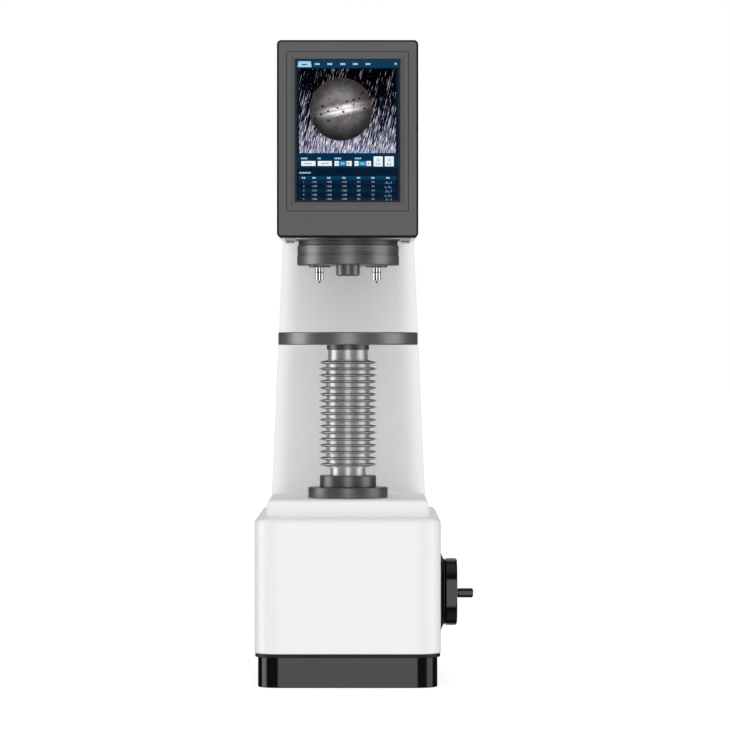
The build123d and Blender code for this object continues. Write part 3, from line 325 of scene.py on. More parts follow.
def turned(name, colour, rough, centre=(0, 0), axis="Z", metallic=0.72, lines=0.25, pitch=5200, depth=0.12):
    """Lathe-turned metal: fine marks that run round the axis, broken into arcs, with uneven gloss."""
    m, t, p = surface(name)
    radius, along, angle = polar(t, centre, axis)
    k = pitch
    marks = t.noise(
        t.join(t.math("MULTIPLY", radius, k), t.math("MULTIPLY", along, k), t.math("MULTIPLY", angle, 1.6)),
        1.0,
        3.0,
        0.7,
    )
    broad = t.noise(t.place(), 30.0, 3.0)
    dark = tuple(c * (1 - lines) for c in colour) + (1,)
    light = tuple(min(1.0, c * (1 + lines)) for c in colour) + (1,)
    tone = t.mix(t.ramp(marks, 0.3, 0.7), dark, light)
    tone = t.mix(t.ramp(broad, 0.3, 0.7, 0.0, 0.14), tone, dark)
    t.put(p.inputs["Base Color"], tone)
    p.inputs["Metallic"].default_value = metallic
    t.put(p.inputs["Roughness"], t.ramp(marks, 0.25, 0.75, rough - 0.05, rough + 0.07))
    t.put(p.inputs["Normal"], t.bump(marks, depth, 0.00003))
    return m


def plain_metal(name, colour, rough, scale=260.0, metallic=1.0, depth=0.08):
    """Milled, plated or cast metal with faint clouding and scratches."""
    m, t, p = surface(name)
    where = t.place()
    cloud = t.noise(where, scale * 0.15, 4.0, 0.6)
    x, y, z = t.split(where)
    scratch = t.noise(
        t.join(t.math("MULTIPLY", x, scale * 6), t.math("MULTIPLY", y, scale * 0.8), t.math("MULTIPLY", z, scale * 9)),
        1.0,
        3.0,
        0.7,
    )
    dark = tuple(c * 0.8 for c in colour) + (1,)
    light = tuple(min(1.0, c * 1.12) for c in colour) + (1,)
    t.put(p.inputs["Base Color"], t.mix(t.ramp(cloud, 0.25, 0.75), dark, light))
    p.inputs["Metallic"].default_value = metallic
    t.put(p.inputs["Roughness"], t.ramp(scratch, 0.25, 0.75, rough - 0.05, rough + 0.08))
    t.put(p.inputs["Normal"], t.bump(scratch, depth, 0.00003))
    return m


def plastic(name, colour, rough, grain=1400.0, depth=0.25):
    """Moulded plastic with a spark-eroded grain."""
    m, t, p = surface(name)
    where = t.place()
    texture = t.noise(where, grain, 2.0, 0.6)
    cloud = t.noise(where, 24.0, 3.0)
    dark = tuple(c * 0.85 for c in colour) + (1,)
    light = tuple(min(1.0, c * 1.15) for c in colour) + (1,)
    t.put(p.inputs["Base Color"], t.mix(cloud, dark, light))
    t.put(p.inputs["Roughness"], t.ramp(texture, 0.3, 0.7, rough - 0.05, rough + 0.08))
    t.put(p.inputs["Normal"], t.bump(texture, depth, 0.00005))
    return m


white = paint("white_enamel", (0.815, 0.823, 0.835), 0.30, 0.22, spec=0.32)
# the column's white is the base enamel made lighter, as painted light to make up for the shade under the head; it also
# has a satin finish with less gloss
casting_white_lightened = paint("casting_enamel_lightened", (0.865, 0.872, 0.882), 0.5, 0.0, spec=0.08)
gloss = black_gloss("black_gloss")
head = head_finish("head_grey")
bezel = head_finish("bezel_grey", front=0.088, gloss=0.14, black_sides_and_edge_shade=False)
ring_metal = turned("ring_anodised", (0.12, 0.12, 0.118), 0.38, centre=(0, 0.0337))
turret_metal = turned("turret_anodised", (0.215, 0.215, 0.212), 0.36, centre=(0, 0.0337))
anvil_metal = turned("anvil_blackened", (0.225, 0.223, 0.215), 0.34, lines=0.2)
flange_metal = turned("flange_blackened", (0.17, 0.17, 0.165), 0.34, lines=0.2)
chrome = turned("chrome", (0.68, 0.68, 0.68), 0.32, metallic=0.62, lines=0.03, depth=0.04)
bright = turned("bright_steel", (0.86, 0.86, 0.855), 0.26, metallic=0.7, lines=0.06, pitch=6500, depth=0.05)
# a darker copy of the bright steel, used as painted shade on the bellows flanks
fold_painted_shade = turned("fold_steel", (0.048, 0.048, 0.047), 0.38, metallic=0.6, lines=0.1, pitch=6500, depth=0.05)
steel = plain_metal("plain_steel", (0.55, 0.55, 0.55), 0.32)
sheet = plain_metal("zinc_sheet", (0.62, 0.63, 0.63), 0.38, scale=140.0)
iron = plain_metal("cast_iron", (0.20, 0.20, 0.20), 0.55, scale=500.0, depth=0.3)
bronze = plain_metal("bronze", (0.60, 0.40, 0.18), 0.30)
carbide = plain_metal("carbide", (0.035, 0.035, 0.038), 0.16, depth=0.02)
black_plastic = plastic("black_plastic", (0.012, 0.012, 0.012), 0.30)
circuit = plastic("circuit_board", (0.02, 0.10, 0.05), 0.40, grain=300.0)

indenter_chrome = turned("indenter_chrome", (0.90, 0.90, 0.91), 0.09, metallic=0.97, lines=0.02, depth=0.02)

glass = bpy.data.materials.new("touch_glass")
glass.use_nodes = True
t = Tree(glass.node_tree)
out = t.node("ShaderNodeOutputMaterial")
clear = t.node("ShaderNodeBsdfTransparent")
clear.inputs["Color"].default_value = (0.97, 0.97, 0.98, 1)
mirror = t.node("ShaderNodeBsdfGlossy")
smudge = t.noise(t.place(), 30.0, 4.0, 0.6, 0.5)
t.put(mirror.inputs["Roughness"], t.ramp(smudge, 0.3, 0.8, 0.03, 0.10))
edge_on = t.node("ShaderNodeLayerWeight")
edge_on.inputs["Blend"].default_value = 0.12
both = t.node("ShaderNodeMixShader")
t.put(both.inputs[0], t.ramp(edge_on.outputs["Fresnel"], 0.02, 0.45, 0.0, 0.35))
t.put(both.inputs[1], clear.outputs[0])
t.put(both.inputs[2], mirror.outputs[0])
t.put(out.inputs["Surface"], both.outputs[0])

lens, t, p = surface("lens_glass")
bloom = t.noise(t.place(), 200.0, 2.0)
t.put(p.inputs["Base Color"], t.mix(bloom, (0.01, 0.01, 0.03, 1), (0.03, 0.01, 0.05, 1)))
p.inputs["Roughness"].default_value = 0.03
p.inputs["Coat Weight"].default_value = 1.0

grip_black = plastic("grip_black", (0.009, 0.009, 0.009), 0.12)
BY_NODE = {
    "frame_casting": casting_white_lightened,
    "turret_ring": ring_metal,
    "turret_body": turret_metal,
    "objective_barrel": turret_metal,
    "indenter_bushes": turret_metal,
    "anvil": anvil_metal,
    "anvil_hub": flange_metal,
    "base_flange": flange_metal,
    "guide_collar": flange_metal,
    "upper_sleeve": chrome,
    "lower_sleeve": chrome,
    "left_indenter": indenter_chrome,
    "right_indenter": indenter_chrome,
    "left_ball": carbide,
    "right_ball": carbide,
    "display_bezel": bezel,
    "grip_sleeve": grip_black,
}
BY_SLOT = {
    "white_paint": white,
    "black_gloss": gloss,
    "head_grey": head,
    "dark_anodised": turret_metal,
    "blackened_steel": flange_metal,
    "chrome": chrome,
    "bright_steel": bright,
    "plain_steel": steel,
    "zinc_sheet": sheet,
    "iron": iron,
    "bronze": bronze,
    "carbide": carbide,
    "black_plastic": black_plastic,
    "bezel_plastic": bezel,
    "circuit_board": circuit,
    "screen_glass": glass,
    "lens_glass": lens,
    "panel": black_plastic,
}
for name, obj in nodes.items():
    was = obj.data.materials[0].name if obj.data.materials else "plain_steel"
    finish = BY_NODE.get(name) or BY_SLOT[was.split(".")[0]]
    obj.data.materials.clear()
    obj.data.materials.append(finish)


# ---------------------------------------------------------------- mesh helpers
def add_mesh(name, bm, materials, smooth=None):
    mesh = bpy.data.meshes.new(name)
    bm.normal_update()
    bm.to_mesh(mesh)
    bm.free()
    for m in materials:
        mesh.materials.append(m)
    if smooth is not None:
        for poly in mesh.polygons:
            poly.use_smooth = True
        mesh.set_sharp_from_angle(angle=math.radians(smooth))
    obj = bpy.data.objects.new(name, mesh)
    scene.collection.objects.link(obj)
    return obj


def lathe(outline, segments=144):
    """A closed ring solid from an outline of (radius, z) points in mm, about the Z axis."""
    bm = bmesh.new()
    loops = []
    for r, z in outline:
        loops.append(
            [
                bm.verts.new(
                    (
                        r * MM * math.cos(2 * math.pi * i / segments),
                        r * MM * math.sin(2 * math.pi * i / segments),
                        z * MM,
                    )
                )
                for i in range(segments)
            ]
        )
    for a, b in zip(loops, loops[1:] + loops[:1]):
        for i in range(segments):
            j = (i + 1) % segments
            bm.faces.new((a[i], a[j], b[j], b[i]))
    bmesh.ops.recalc_face_normals(bm, faces=bm.faces)
    return bm


# ---------------------------------------------------------------- bellows
# One piece for each fold.
low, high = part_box("bellows")
bottom_z, top_z = low.z / MM, high.z / MM
length = top_z - bottom_z
folds = 17
pitch = length / 16.85
tip_r, valley_r, wall_r = 34.35, 25.5, 24.7
edges = [bottom_z] + [bottom_z + (k + 0.92) * pitch for k in range(folds - 1)] + [top_z]


for k in range(folds):
    z0, z1 = edges[k], edges[k + 1]
    centre = bottom_z + (k + 0.42) * pitch
    outline = []
    half = 0.5 * pitch
    tip = 0.26
    root = 2.8

    def radius_at(z):
        s = abs(z - centre)
        if s < root:
            return valley_r + (tip_r - 0.14 - valley_r) * ((root - s) / (root - tip)) ** 1.12
        return valley_r + 0.45 * math.sin(math.pi / 2 * min(1.0, (s - root) / (half - root)))

    flank = [root, 2.4, 2.0, 1.6, 1.2, 0.85, 0.62, 0.45, tip]
    valley = [0.25 * i for i in range(4)]
    below = [z0 + (centre - root - z0) * f for f in valley] + [centre - f for f in flank]
    above = [centre + f for f in reversed(flank)]
    above += [z1 - (z1 - centre - root) * f for f in reversed(valley)]
    for z in below:
        outline.append((radius_at(z), z))
    outline.append((tip_r - 0.04, centre - tip * 0.55))
    outline.append((tip_r, centre))
    outline.append((tip_r - 0.04, centre + tip * 0.55))
    for z in above:
        outline.append((radius_at(z), z))
    if k == folds - 1:
        outline += [(23.6, z1), (23.6, z1 - 0.9), (wall_r, z1 - 0.9)]
    else:
        outline.append((wall_r, z1))
    if k == 0:
        outline += [(wall_r, z0 + 0.9), (21.2, z0 + 0.9), (21.2, z0)]
    else:
        outline.append((wall_r, z0))
    ring = lathe(outline)
    # painted shade: flank faces near each fold's edge take the darker steel in place of the shadow between the folds
    for f in ring.faces:
        c = f.calc_center_median()
        off = abs(c.z / MM - centre)
        if 0.5 < off < 1.75 and math.hypot(c.x, c.y) / MM > valley_r + 0.6:
            f.material_index = 1  # the darker flanks beside each edge
    fold = add_mesh("bellows_fold_%02d" % (k + 1), ring, [bright, fold_painted_shade], smooth=38)
    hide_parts("bellows")
    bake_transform(fold)


# ---------------------------------------------------------------- gasket and seal
rubber = plastic("black_rubber", (0.004, 0.004, 0.004), 0.55, grain=900.0)


def rounded(x0, x1, y0, y1, r, n=14):
    """Points round a rectangle with rounded corners, in mm."""
    points = []
    for cx, cy, start in ((x1 - r, y1 - r, 0), (x0 + r, y1 - r, 90), (x0 + r, y0 + r, 180), (x1 - r, y0 + r, 270)):
        for i in range(n + 1):
            a = math.radians(start + 90 * i / n)
            points.append((cx + r * math.cos(a), cy + r * math.sin(a)))
    return points


plinth_low, plinth_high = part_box("plinth_skirt")
base_low, base_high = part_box("base_casting")
gap_low, gap_high = plinth_high.z / MM, 38.9
lip = gap_low - 1.7
inside = (plinth_low.x - base_low.x) / MM
front_inside = (plinth_low.y - base_low.y) / MM
# black rubber seal in the gap under the base: its own lip is real, and the rest of its black band, filling the whole
# gap, is painted shade for the dark gap
bm = bmesh.new()
loops = []
sections = (
    (1.1, 1.1, lip),
    (0.7, 0.7, lip + 0.4),
    (0.7, 0.7, gap_high - 0.4),
    (1.1, 1.1, gap_high),
    (9, 9, gap_high),
    (9, 9, gap_low + 0.02),
    (inside - 0.05, front_inside - 0.05, gap_low + 0.02),
    (inside - 0.05, front_inside - 0.05, lip),
)
for side, ends, z in sections:
    ring = rounded(
        base_low.x / MM + side,
        base_high.x / MM - side,
        base_low.y / MM + ends,
        base_high.y / MM - ends,
        max(25 + inside - side, 8),
    )
    loops.append([bm.verts.new((x * MM, y * MM, z * MM)) for x, y in ring])
for a, b in zip(loops, loops[1:] + loops[:1]):
    for i in range(len(a)):
        j = (i + 1) % len(a)
        bm.faces.new((a[i], a[j], b[j], b[i]))
bmesh.ops.recalc_face_normals(bm, faces=bm.faces)
gasket = add_mesh("base_gasket", bm, [rubber], smooth=40)
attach(gasket, "frame")

flange_low, flange_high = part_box("bearing_flange")
wheel_low, wheel_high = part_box("handwheel")
x_a, x_b = flange_high.x / MM - 0.2, wheel_low.x / MM - 0.15
bm = lathe([(22, x_a), (38.4, x_a), (38.7, x_a + 0.3), (38.7, x_b - 0.3), (38.4, x_b), (22, x_b)], segments=128)
for v in bm.verts:
    x, y, z = v.co
    v.co = Vector((z, x, y + 0.1045))
bmesh.ops.recalc_face_normals(bm, faces=bm.faces)
seal = add_mesh("handwheel_felt_seal", bm, [rubber], smooth=40)
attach(seal, "frame")

# ---------------------------------------------------------------- lugs under the arm
def prism(bm, points, y0, y1, material=0):
    """A prism along Y from (x, z) points in mm."""
    near = [bm.verts.new((x * MM, y0 * MM, z * MM)) for x, z in points]
    far = [bm.verts.new((x * MM, y1 * MM, z * MM)) for x, z in points]
    faces = [bm.faces.new(near), bm.faces.new(far[::-1])]
    for i in range(len(points)):
        j = (i + 1) % len(points)
        faces.append(bm.faces.new((near[i], far[i], far[j], near[j])))
    for f in faces:
        f.material_index = material


# painted shade: the white lugs under the arm are painted mid grey for the shade they sit in, and a black strip in the
# recess between their two layers is a painted shadow
bm = bmesh.new()
for side in (-1, 1):
    x0, x1 = sorted((side * 60.5, side * 73.0))
    prism(bm, rounded(x0, x1, 513.2, 517.4, 1.2, 6), -58.0, -41.0)
    prism(bm, rounded(x0 + 0.8, x1 - 0.8, 510.4, 512.2, 0.8, 6), -57.6, -41.4)
    # painted shadow: the black strip set into the recess between the two lug layers
    prism(bm, rounded(x0 + 1.6, x1 - 1.6, 512.1, 513.3, 0.3, 4), -57.2, -41.8, 1)
bmesh.ops.recalc_face_normals(bm, faces=bm.faces)
# mid grey on the white lugs as painted shade
lug_shaded_grey = paint("lug_enamel_painted_shade", (0.42, 0.42, 0.42), 0.4, 0.1)
lugs = add_mesh("arm_lugs", bm, [lug_shaded_grey, rubber], smooth=30)
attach(lugs, "frame")

# dark joint round each indenter holder
for side, name in ((-1, "left_indenter"), (1, "right_indenter")):
    low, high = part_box(name)
    mid_x, mid_y = (low.x + high.x) / 2, (low.y + high.y) / 2
    bm = lathe([(4.6, 478.2), (5.0, 478.2), (5.0, 478.95), (4.6, 478.95)], segments=64)
    for v in bm.verts:
        v.co.x += mid_x
        v.co.y += mid_y
    joint = add_mesh(name + "_joint", bm, [rubber], smooth=40)
    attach(joint, name)

# black border printed on the glass
bm = bmesh.new()
outer = rounded(-60.2, 60.2, 638 - 81.95, 638 + 81.95, 0.3, 3)
inner = rounded(-58.15, 58.15, 638 - 79.9, 638 + 79.9, 0.3, 3)
rings = []
for points, y in ((outer, -110.56), (inner, -110.56), (inner, -110.52), (outer, -110.52)):
    rings.append([bm.verts.new((x * MM, y * MM, z * MM)) for x, z in points])
for a, b in zip(rings, rings[1:] + rings[:1]):
    for i in range(len(a)):
        j = (i + 1) % len(a)
        bm.faces.new((a[i], a[j], b[j], b[i]))
bmesh.ops.recalc_face_normals(bm, faces=bm.faces)
border = add_mesh("screen_border", bm, [rubber])
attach(border, "frame")

# ---------------------------------------------------------------- screen picture
screen_low, screen_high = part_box("lcd_panel")
panel_y = -108.5
sx0, sx1, sz0, sz1 = -60.35, 60.35, 555.9, 720.1


def at(u, v):
    """Screen place in mm from shares of its width and height, from the top left."""
    return sx0 + u * (sx1 - sx0), sz1 - v * (sz1 - sz0)


def glow(name, colour, other=None, strength=1.0):
    """A lit area of the display, mottled faintly between two colours."""
    m = bpy.data.materials.new(name)
    m.use_nodes = True
    t = Tree(m.node_tree)
    out = t.node("ShaderNodeOutputMaterial")
    light = t.node("ShaderNodeEmission")
    light.inputs["Strength"].default_value = strength
    where = t.place()
    x, _, z = t.split(where)
    cells = t.noise(where, 160.0, 2.0)
    a = tuple(colour) + (1,)
    b = tuple(other or [c * 0.86 for c in colour]) + (1,)
    t.put(light.inputs["Color"], t.mix(t.ramp(cells, 0.25, 0.75), a, b))
    t.put(out.inputs["Surface"], light.outputs[0])
    return m


def srgb(hex_colour):
    values = [int(hex_colour[i : i + 2], 16) / 255 for i in (0, 2, 4)]
    return tuple(c / 12.92 if c <= 0.04045 else ((c + 0.055) / 1.055) ** 2.4 for c in values)


navy = glow("ui_navy", srgb("081a2e"), srgb("0a2038"))
bar_blue = glow("ui_bar", srgb("0a3957"), srgb("0c4262"))
deep_blue = glow("ui_control", srgb("062c49"), srgb("083352"))
row_blue = glow("ui_row", srgb("0a243c"), srgb("0b2a44"))
cyan = glow("ui_cyan", srgb("8fd6f2"), srgb("a6e2f8"))
mid_cyan = glow("ui_mid_cyan", srgb("2a86b4"), srgb("3596c4"))
white_ui = glow("ui_white", srgb("eef5f8"), srgb("ffffff"))
mark_ui = glow("ui_mark", srgb("b9d3e2"), srgb("d5e6ef"))
dim_ui = glow("ui_dim", srgb("5f87a3"), srgb("7095b0"))
red_ui = glow("ui_outline", srgb("7a4038"), srgb("5c322c"))
figure_ui = glow("ui_figures", srgb("a9c6da"), srgb("c4d9e6"))
black_ui = glow("ui_black", srgb("1a2a33"), srgb("20323c"))
nodes["lcd_panel"].data.materials.clear()
nodes["lcd_panel"].data.materials.append(navy)


def slab(bm, corners, layer, material=0, thick=0.03):
    """A thin closed plate with the given (x, z) corners in mm, in one of the layers before the panel."""
    back = panel_y - layer * 0.035
    front = back - thick
    rear = [bm.verts.new((x * MM, back * MM, z * MM)) for x, z in corners]
    fore = [bm.verts.new((x * MM, front * MM, z * MM)) for x, z in corners]
    n = len(corners)
    made = [bm.faces.new(fore), bm.faces.new(list(reversed(rear)))]
    for i in range(n):
        j = (i + 1) % n
        made.append(bm.faces.new((rear[i], rear[j], fore[j], fore[i])))
    for f in made:
        f.material_index = material


def patch(bm, u0, v0, u1, v1, layer, material=0, slant=0.0, thick=0.03):
    x0, z0 = at(u0, v0)
    x1, z1 = at(u1, v1)
    slab(bm, [(x0, z1), (x1 + slant, z1), (x1, z0), (x0 + slant, z0)], layer, material, thick)


def close(bm):
    bmesh.ops.recalc_face_normals(bm, faces=bm.faces)
    return bm


def uv(px, py):
    """Shares of the screen from the layout grid, 690 by 938 units."""
    return px / 690, py / 938


def box(bm, x0, y0, x1, y1, layer, material=0, slant=0.0, thick=0.03):
    patch(bm, *uv(x0, y0), *uv(x1, y1), layer, material, slant, thick)


# bars and fields
bm = bmesh.new()
box(bm, 8, 10, 684, 58, 0, 0)  # header bar
box(bm, 8, 616, 684, 713, 0, 1)  # control bar
box(bm, 28, 766, 662, 790, 0, 0)  # table header
for i in range(5):
    if i % 2 == 0:
        box(bm, 28, 792 + 28.0 * i, 662, 818 + 28.0 * i, 0, 2)
ui_bars = add_mesh("screen_bars", close(bm), [bar_blue, deep_blue, row_blue])

bm = bmesh.new()
box(bm, 18, 16, 104, 54, 1, 0, slant=0.9)  # active tab
for x0, x1 in ((42, 135), (150, 242)):
    box(bm, x0, 668, x1, 700, 1, 1)
for x0, xa, xb, x1 in ((260, 288, 338, 372), (390, 417, 468, 498)):
    box(bm, x0, 668, xa - 1, 700, 1, 1)
    box(bm, xa, 668, xb, 700, 1, 2)
    box(bm, xb + 1, 668, x1, 700, 1, 1)
for x0, x1 in ((515, 575), (588, 647)):
    box(bm, x0, 638, x1, 703, 1, 1)
ui_fields = add_mesh("screen_fields", close(bm), [cyan, white_ui, mid_cyan])

bm = bmesh.new()
for x in (148, 230, 315, 397, 480):  # tab marks
    for d in (-13, -2, 9):
        box(bm, x + d - 4, 28, x + d + 5, 40, 1, 0)
for d in (-5, 3):
    box(bm, 658 + d, 26, 664 + d, 38, 1, 0)
box(bm, 45, 33, 78, 40, 2, 3)
for x0, x1 in ((40, 85), (150, 170), (260, 300), (392, 435)):  # field marks
    x = x0
    while x < x1 - 5:
        box(bm, x, 646, x + 8, 656, 1, 0)
        x += 11
for x0, x1 in ((62, 112), (172, 222)):  # what the fields hold
    x = x0
    while x < x1 - 5:
        box(bm, x, 680, x + 7, 689, 2, 1)
        x += 10
for x in (272, 352, 401, 481):  # stepper signs
    box(bm, x - 5, 682.5, x + 6, 686.5, 2, 3)
for x in (352, 481):
    box(bm, x - 1.5, 678, x + 2.5, 691, 2, 3)
for x in (306, 318, 434, 446):
    box(bm, x - 3, 679, x + 4, 690, 2, 0)
for x in (545, 617):  # signs on the two buttons
    for i in range(8):
        a = math.pi / 4 * i
        cx, cy = x + 9 * math.cos(a), 660 + 9 * math.sin(a)
        box(bm, cx - 2.5, cy - 2.5, cx + 2.5, cy + 2.5, 2, 1)
    box(bm, x - 14, 684, x - 3, 692, 2, 1)
    box(bm, x + 3, 684, x + 14, 692, 2, 1)
x = 30
while x < 100:
    box(bm, x, 740, x + 7, 750, 1, 2)
    x += 11
for x in (58, 127, 223, 323, 418, 512, 610):  # table headings
    for d in (-12, 0):
        box(bm, x + d, 773, x + d + 9, 783, 1, 0)
ui_marks = add_mesh("screen_marks", close(bm), [mark_ui, dim_ui, mark_ui, black_ui])


def lettering(name, items, size, layer, material):
    """Plain figures as thin solid shapes, all in one mesh."""
    joined = bmesh.new()
    for text, u, v in items:
        curve = bpy.data.curves.new("figures", "FONT")
        curve.body = text
        curve.size = size * MM
        curve.extrude = 0.000012
        curve.align_x = "CENTER"
        curve.align_y = "CENTER"
        curve.resolution_u = 2
        holder = bpy.data.objects.new("figures", curve)
        scene.collection.objects.link(holder)
        bpy.context.view_layer.update()
        mesh = bpy.data.meshes.new_from_object(
            holder.evaluated_get(bpy.context.evaluated_depsgraph_get())
        )
        x, z = at(u, v)
        y = panel_y - layer * 0.035 - 0.014
        for vert in mesh.vertices:
            co = vert.co.copy()
            vert.co = Vector((x * MM + co.x, y * MM - co.z, z * MM + co.y))
        joined.from_mesh(mesh)
        bpy.data.objects.remove(holder)
        bpy.data.meshes.remove(mesh)
        bpy.data.curves.remove(curve)
    bmesh.ops.remove_doubles(joined, verts=joined.verts, dist=1e-7)
    bmesh.ops.recalc_face_normals(joined, faces=joined.faces)
    return add_mesh(name, joined, [material])


# five readings: number, two diameters, their mean, the hardness, and the spread
readings = [
    ("1", "1.241", "1.244", "1.243", "201"),
    ("2", "1.239", "1.242", "1.241", "202"),
    ("3", "1.243", "1.246", "1.245", "200"),
    ("4", "1.240", "1.240", "1.240", "202"),
    ("5", "1.244", "1.243", "1.244", "201"),
]
items = []
for row, values in enumerate(readings):
    for value, x in zip(values + ("0.%d" % (row + 2),), (58, 127, 223, 323, 418, 512)):
        items.append((value, *uv(x, 805 + 28 * row)))
ui_figures = lettering("screen_figures", items, 2.75, 1, figure_ui)

bm = bmesh.new()
for row in range(5):  # a short trace in the last column
    for i in range(6):
        h = (3 + 5 * ((i * 3 + row * 2) % 4)) * 0.9
        box(bm, 588 + i * 8, 817 + 28 * row - h, 593 + i * 8, 817 + 28 * row, 1, 0)
ui_traces = add_mesh("screen_traces", close(bm), [dim_ui])

# polished specimen with its grinding marks
micrograph = bpy.data.materials.new("micrograph")
micrograph.use_nodes = True
t = Tree(micrograph.node_tree)
out = t.node("ShaderNodeOutputMaterial")
light = t.node("ShaderNodeEmission")
x, _, z = t.split(t.place())
lean = math.radians(13)
across = t.math(
    "SUBTRACT", t.math("MULTIPLY", x, math.cos(lean)), t.math("MULTIPLY", z, math.sin(lean))
)
along = t.math(
    "ADD", t.math("MULTIPLY", x, math.sin(lean)), t.math("MULTIPLY", z, math.cos(lean))
)


def scratches(wide, long, seed, detail=2.0):
    return t.noise(
        t.join(t.math("MULTIPLY", across, wide), t.math("MULTIPLY", along, long), seed), 1.0, detail, 0.6
    )


x0, z0 = at(*uv(28, 66))
x1, z1 = at(*uv(660, 616))
down = t.ramp(z, z1 * MM, z0 * MM, 1.0, 0.0, smooth=False)
deep = t.math("POWER", down, 1.5)
groove = scratches(1050.0, 15.0, 0.0)
dash = scratches(1150.0, 110.0, 3.0, 3.0)
lone = scratches(420.0, 7.0, 11.0, 1.0)
patchy = t.noise(t.join(t.math("MULTIPLY", x, 60), t.math("MULTIPLY", z, 30), 7.0), 1.0, 2.0)
signal = t.math("ADD", t.math("MULTIPLY", groove, 0.66), t.math("MULTIPLY", dash, 0.34))
signal = t.math("ADD", signal, t.math("MULTIPLY", deep, 0.15))
signal = t.math("ADD", signal, t.math("MULTIPLY", t.math("SUBTRACT", patchy, 0.5), 0.08))
lit = t.ramp(signal, 0.588, 0.63)
single = t.math("MULTIPLY", t.ramp(lone, 0.70, 0.74), t.ramp(dash, 0.35, 0.6, 0.25, 1.0))
lit = t.math("MAXIMUM", lit, single)
dimming = t.math("MULTIPLY", t.ramp(dash, 0.38, 0.66, 0.4, 1.0), t.math("MULTIPLY_ADD", deep, 0.35, 0.7))
lit = t.math("MULTIPLY", lit, dimming)
tinted = t.mix(t.ramp(dash, 0.42, 0.62), srgb("8488cc") + (1,), srgb("ffffff") + (1,))
ground = t.mix(deep, srgb("030304") + (1,), srgb("10132a") + (1,))
t.put(light.inputs["Color"], t.mix(lit, ground, tinted))
t.put(out.inputs["Surface"], light.outputs[0])
bm = bmesh.new()
box(bm, 28, 66, 660, 616, 0, 0)
ui_image = add_mesh("screen_micrograph", close(bm), [micrograph])

# the ball's round dent in it
dent_x, dent_z = at(*uv(302, 331))
dent_r = 35.6
dent = bpy.data.materials.new("dent")
dent.use_nodes = True
t = Tree(dent.node_tree)
out = t.node("ShaderNodeOutputMaterial")
light = t.node("ShaderNodeEmission")
x, _, z = t.split(t.place())
px = t.math("MULTIPLY", t.math("SUBTRACT", x, dent_x * MM), 1 / (dent_r * MM))
pz = t.math("MULTIPLY", t.math("SUBTRACT", z, dent_z * MM), 1 / (dent_r * MM))
tilt = math.radians(11.5)
run = t.math("ADD", t.math("MULTIPLY", px, math.cos(tilt)), t.math("MULTIPLY", pz, math.sin(tilt)))
rise = t.math(
    "SUBTRACT", t.math("MULTIPLY", pz, math.cos(tilt)), t.math("MULTIPLY", px, math.sin(tilt))
)
radial = t.math(
    "SQRT", t.math("ADD", t.math("MULTIPLY", px, px), t.math("MULTIPLY", pz, pz))
)
mottle = t.noise(t.join(t.math("MULTIPLY", px, 3.0), t.math("MULTIPLY", pz, 3.2), 1.0), 1.0, 4.0, 0.6)
fine = t.noise(t.join(t.math("MULTIPLY", px, 26.0), t.math("MULTIPLY", pz, 12.0), 5.0), 1.0, 3.0, 0.7)
wipe = t.noise(t.join(t.math("MULTIPLY", run, 2.2), t.math("MULTIPLY", rise, 24.0), 9.0), 1.0, 3.0, 0.7)
rise_wavy = t.math("ADD", rise, t.math("MULTIPLY", t.math("SUBTRACT", fine, 0.5), 0.22))
offset = t.math("ABSOLUTE", t.math("SUBTRACT", rise_wavy, -0.02))
streak_band = t.ramp(offset, 0.03, 0.21, 1.0, 0.0)
second_line = t.ramp(t.math("ABSOLUTE", t.math("SUBTRACT", rise_wavy, 0.0)), 0.0, 0.035, 0.25, 1.0)
streak_band = t.math("MULTIPLY", streak_band, second_line)
reach = t.math("SQRT", t.math("ADD", t.math("MULTIPLY", px, px), t.math("MULTIPLY", pz, pz)))
streak_band = t.math("MULTIPLY", streak_band, t.ramp(reach, 0.1, 0.95, 1.25, 0.4))
ends = t.ramp(t.math("ABSOLUTE", t.math("SUBTRACT", run, 0.05)), 0.15, 0.95, 1.0, 0.12)
streaky = t.math("MULTIPLY", t.math("MULTIPLY", streak_band, ends), t.ramp(wipe, 0.30, 0.62, 0.25, 1.25))
shade = t.ramp(radial, 0.35, 1.0, 0.23, 0.045)
shade = t.math("MULTIPLY", shade, t.ramp(pz, -0.95, 0.35, 0.42, 1.0))
shade = t.math("MULTIPLY", shade, t.ramp(mottle, 0.3, 0.7, 0.72, 1.25))
value = t.math("ADD", shade, t.math("MULTIPLY", streaky, 0.85))
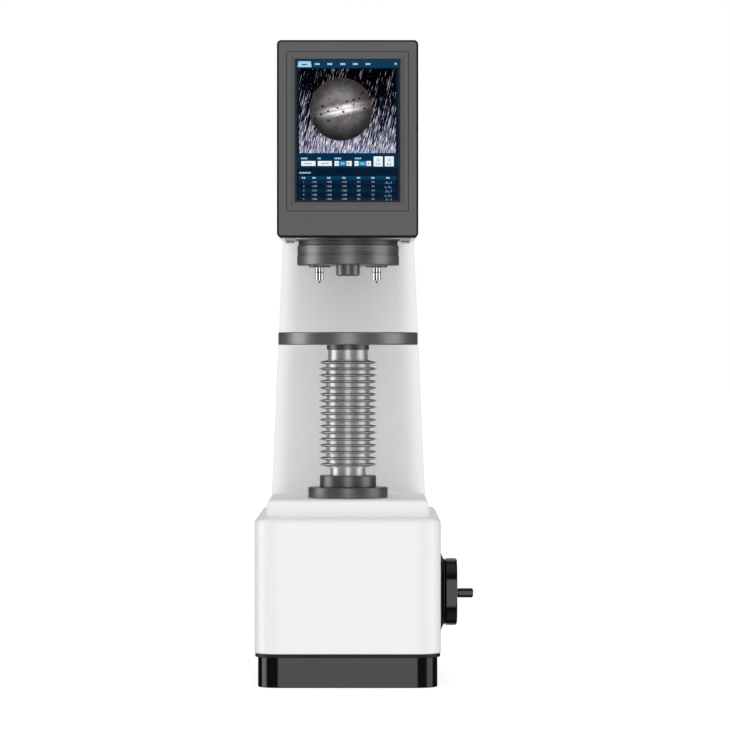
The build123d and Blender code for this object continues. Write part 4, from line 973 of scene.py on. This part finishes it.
specks = t.node("ShaderNodeTexVoronoi", feature="F1", distance="EUCLIDEAN")
t.put(specks.inputs["Vector"], t.join(t.math("MULTIPLY", px, 4.6), t.math("MULTIPLY", pz, 5.4), 2.35))
specks.inputs["Scale"].default_value = 1.0
specks.inputs["Randomness"].default_value = 1.0
near = t.ramp(specks.outputs["Distance"], 0.16, 0.27, 0.12, 1.0)
belt = t.ramp(t.math("ABSOLUTE", t.math("SUBTRACT", rise, 0.05)), 0.25, 0.5, 0.0, 1.0)
value = t.math("MULTIPLY", value, t.math("MAXIMUM", near, belt))
warm = t.mix(t.ramp(mottle, 0.35, 0.65), (1.0, 0.90, 0.82, 1), (0.95, 0.93, 0.97, 1))
scaled = t.node("ShaderNodeVectorMath", operation="SCALE")
t.put(scaled.inputs[0], warm)
t.put(scaled.inputs["Scale"], value)
t.put(light.inputs["Color"], scaled.outputs[0])
t.put(out.inputs["Surface"], light.outputs[0])
bm = bmesh.new()
slab(
    bm,
    [
        (dent_x + dent_r * math.cos(a), dent_z + dent_r * math.sin(a))
        for a in [2 * math.pi * i / 128 for i in range(128)]
    ],
    1,
)
ui_dent = add_mesh("screen_dent", close(bm), [dent])

bm = bmesh.new()
n = 160
back, front = panel_y - 0.07, panel_y - 0.11
rings = []
for r, y in ((dent_r - 0.05, back), (dent_r + 0.4, back), (dent_r + 0.4, front), (dent_r - 0.05, front)):
    rings.append(
        [
            bm.verts.new(
                (
                    (dent_x + r * math.cos(2 * math.pi * i / n)) * MM,
                    y * MM,
                    (dent_z + r * math.sin(2 * math.pi * i / n)) * MM,
                )
            )
            for i in range(n)
        ]
    )
for a, b in zip(rings, rings[1:] + rings[:1]):
    for i in range(n):
        j = (i + 1) % n
        bm.faces.new((a[i], a[j], b[j], b[i]))
ui_outline = add_mesh("screen_outline", close(bm), [red_ui])

for piece in (ui_bars, ui_fields, ui_marks, ui_figures, ui_traces, ui_image, ui_dent, ui_outline):
    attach(piece, "frame")

# ---------------------------------------------------------------- final update
bpy.context.view_layer.update()
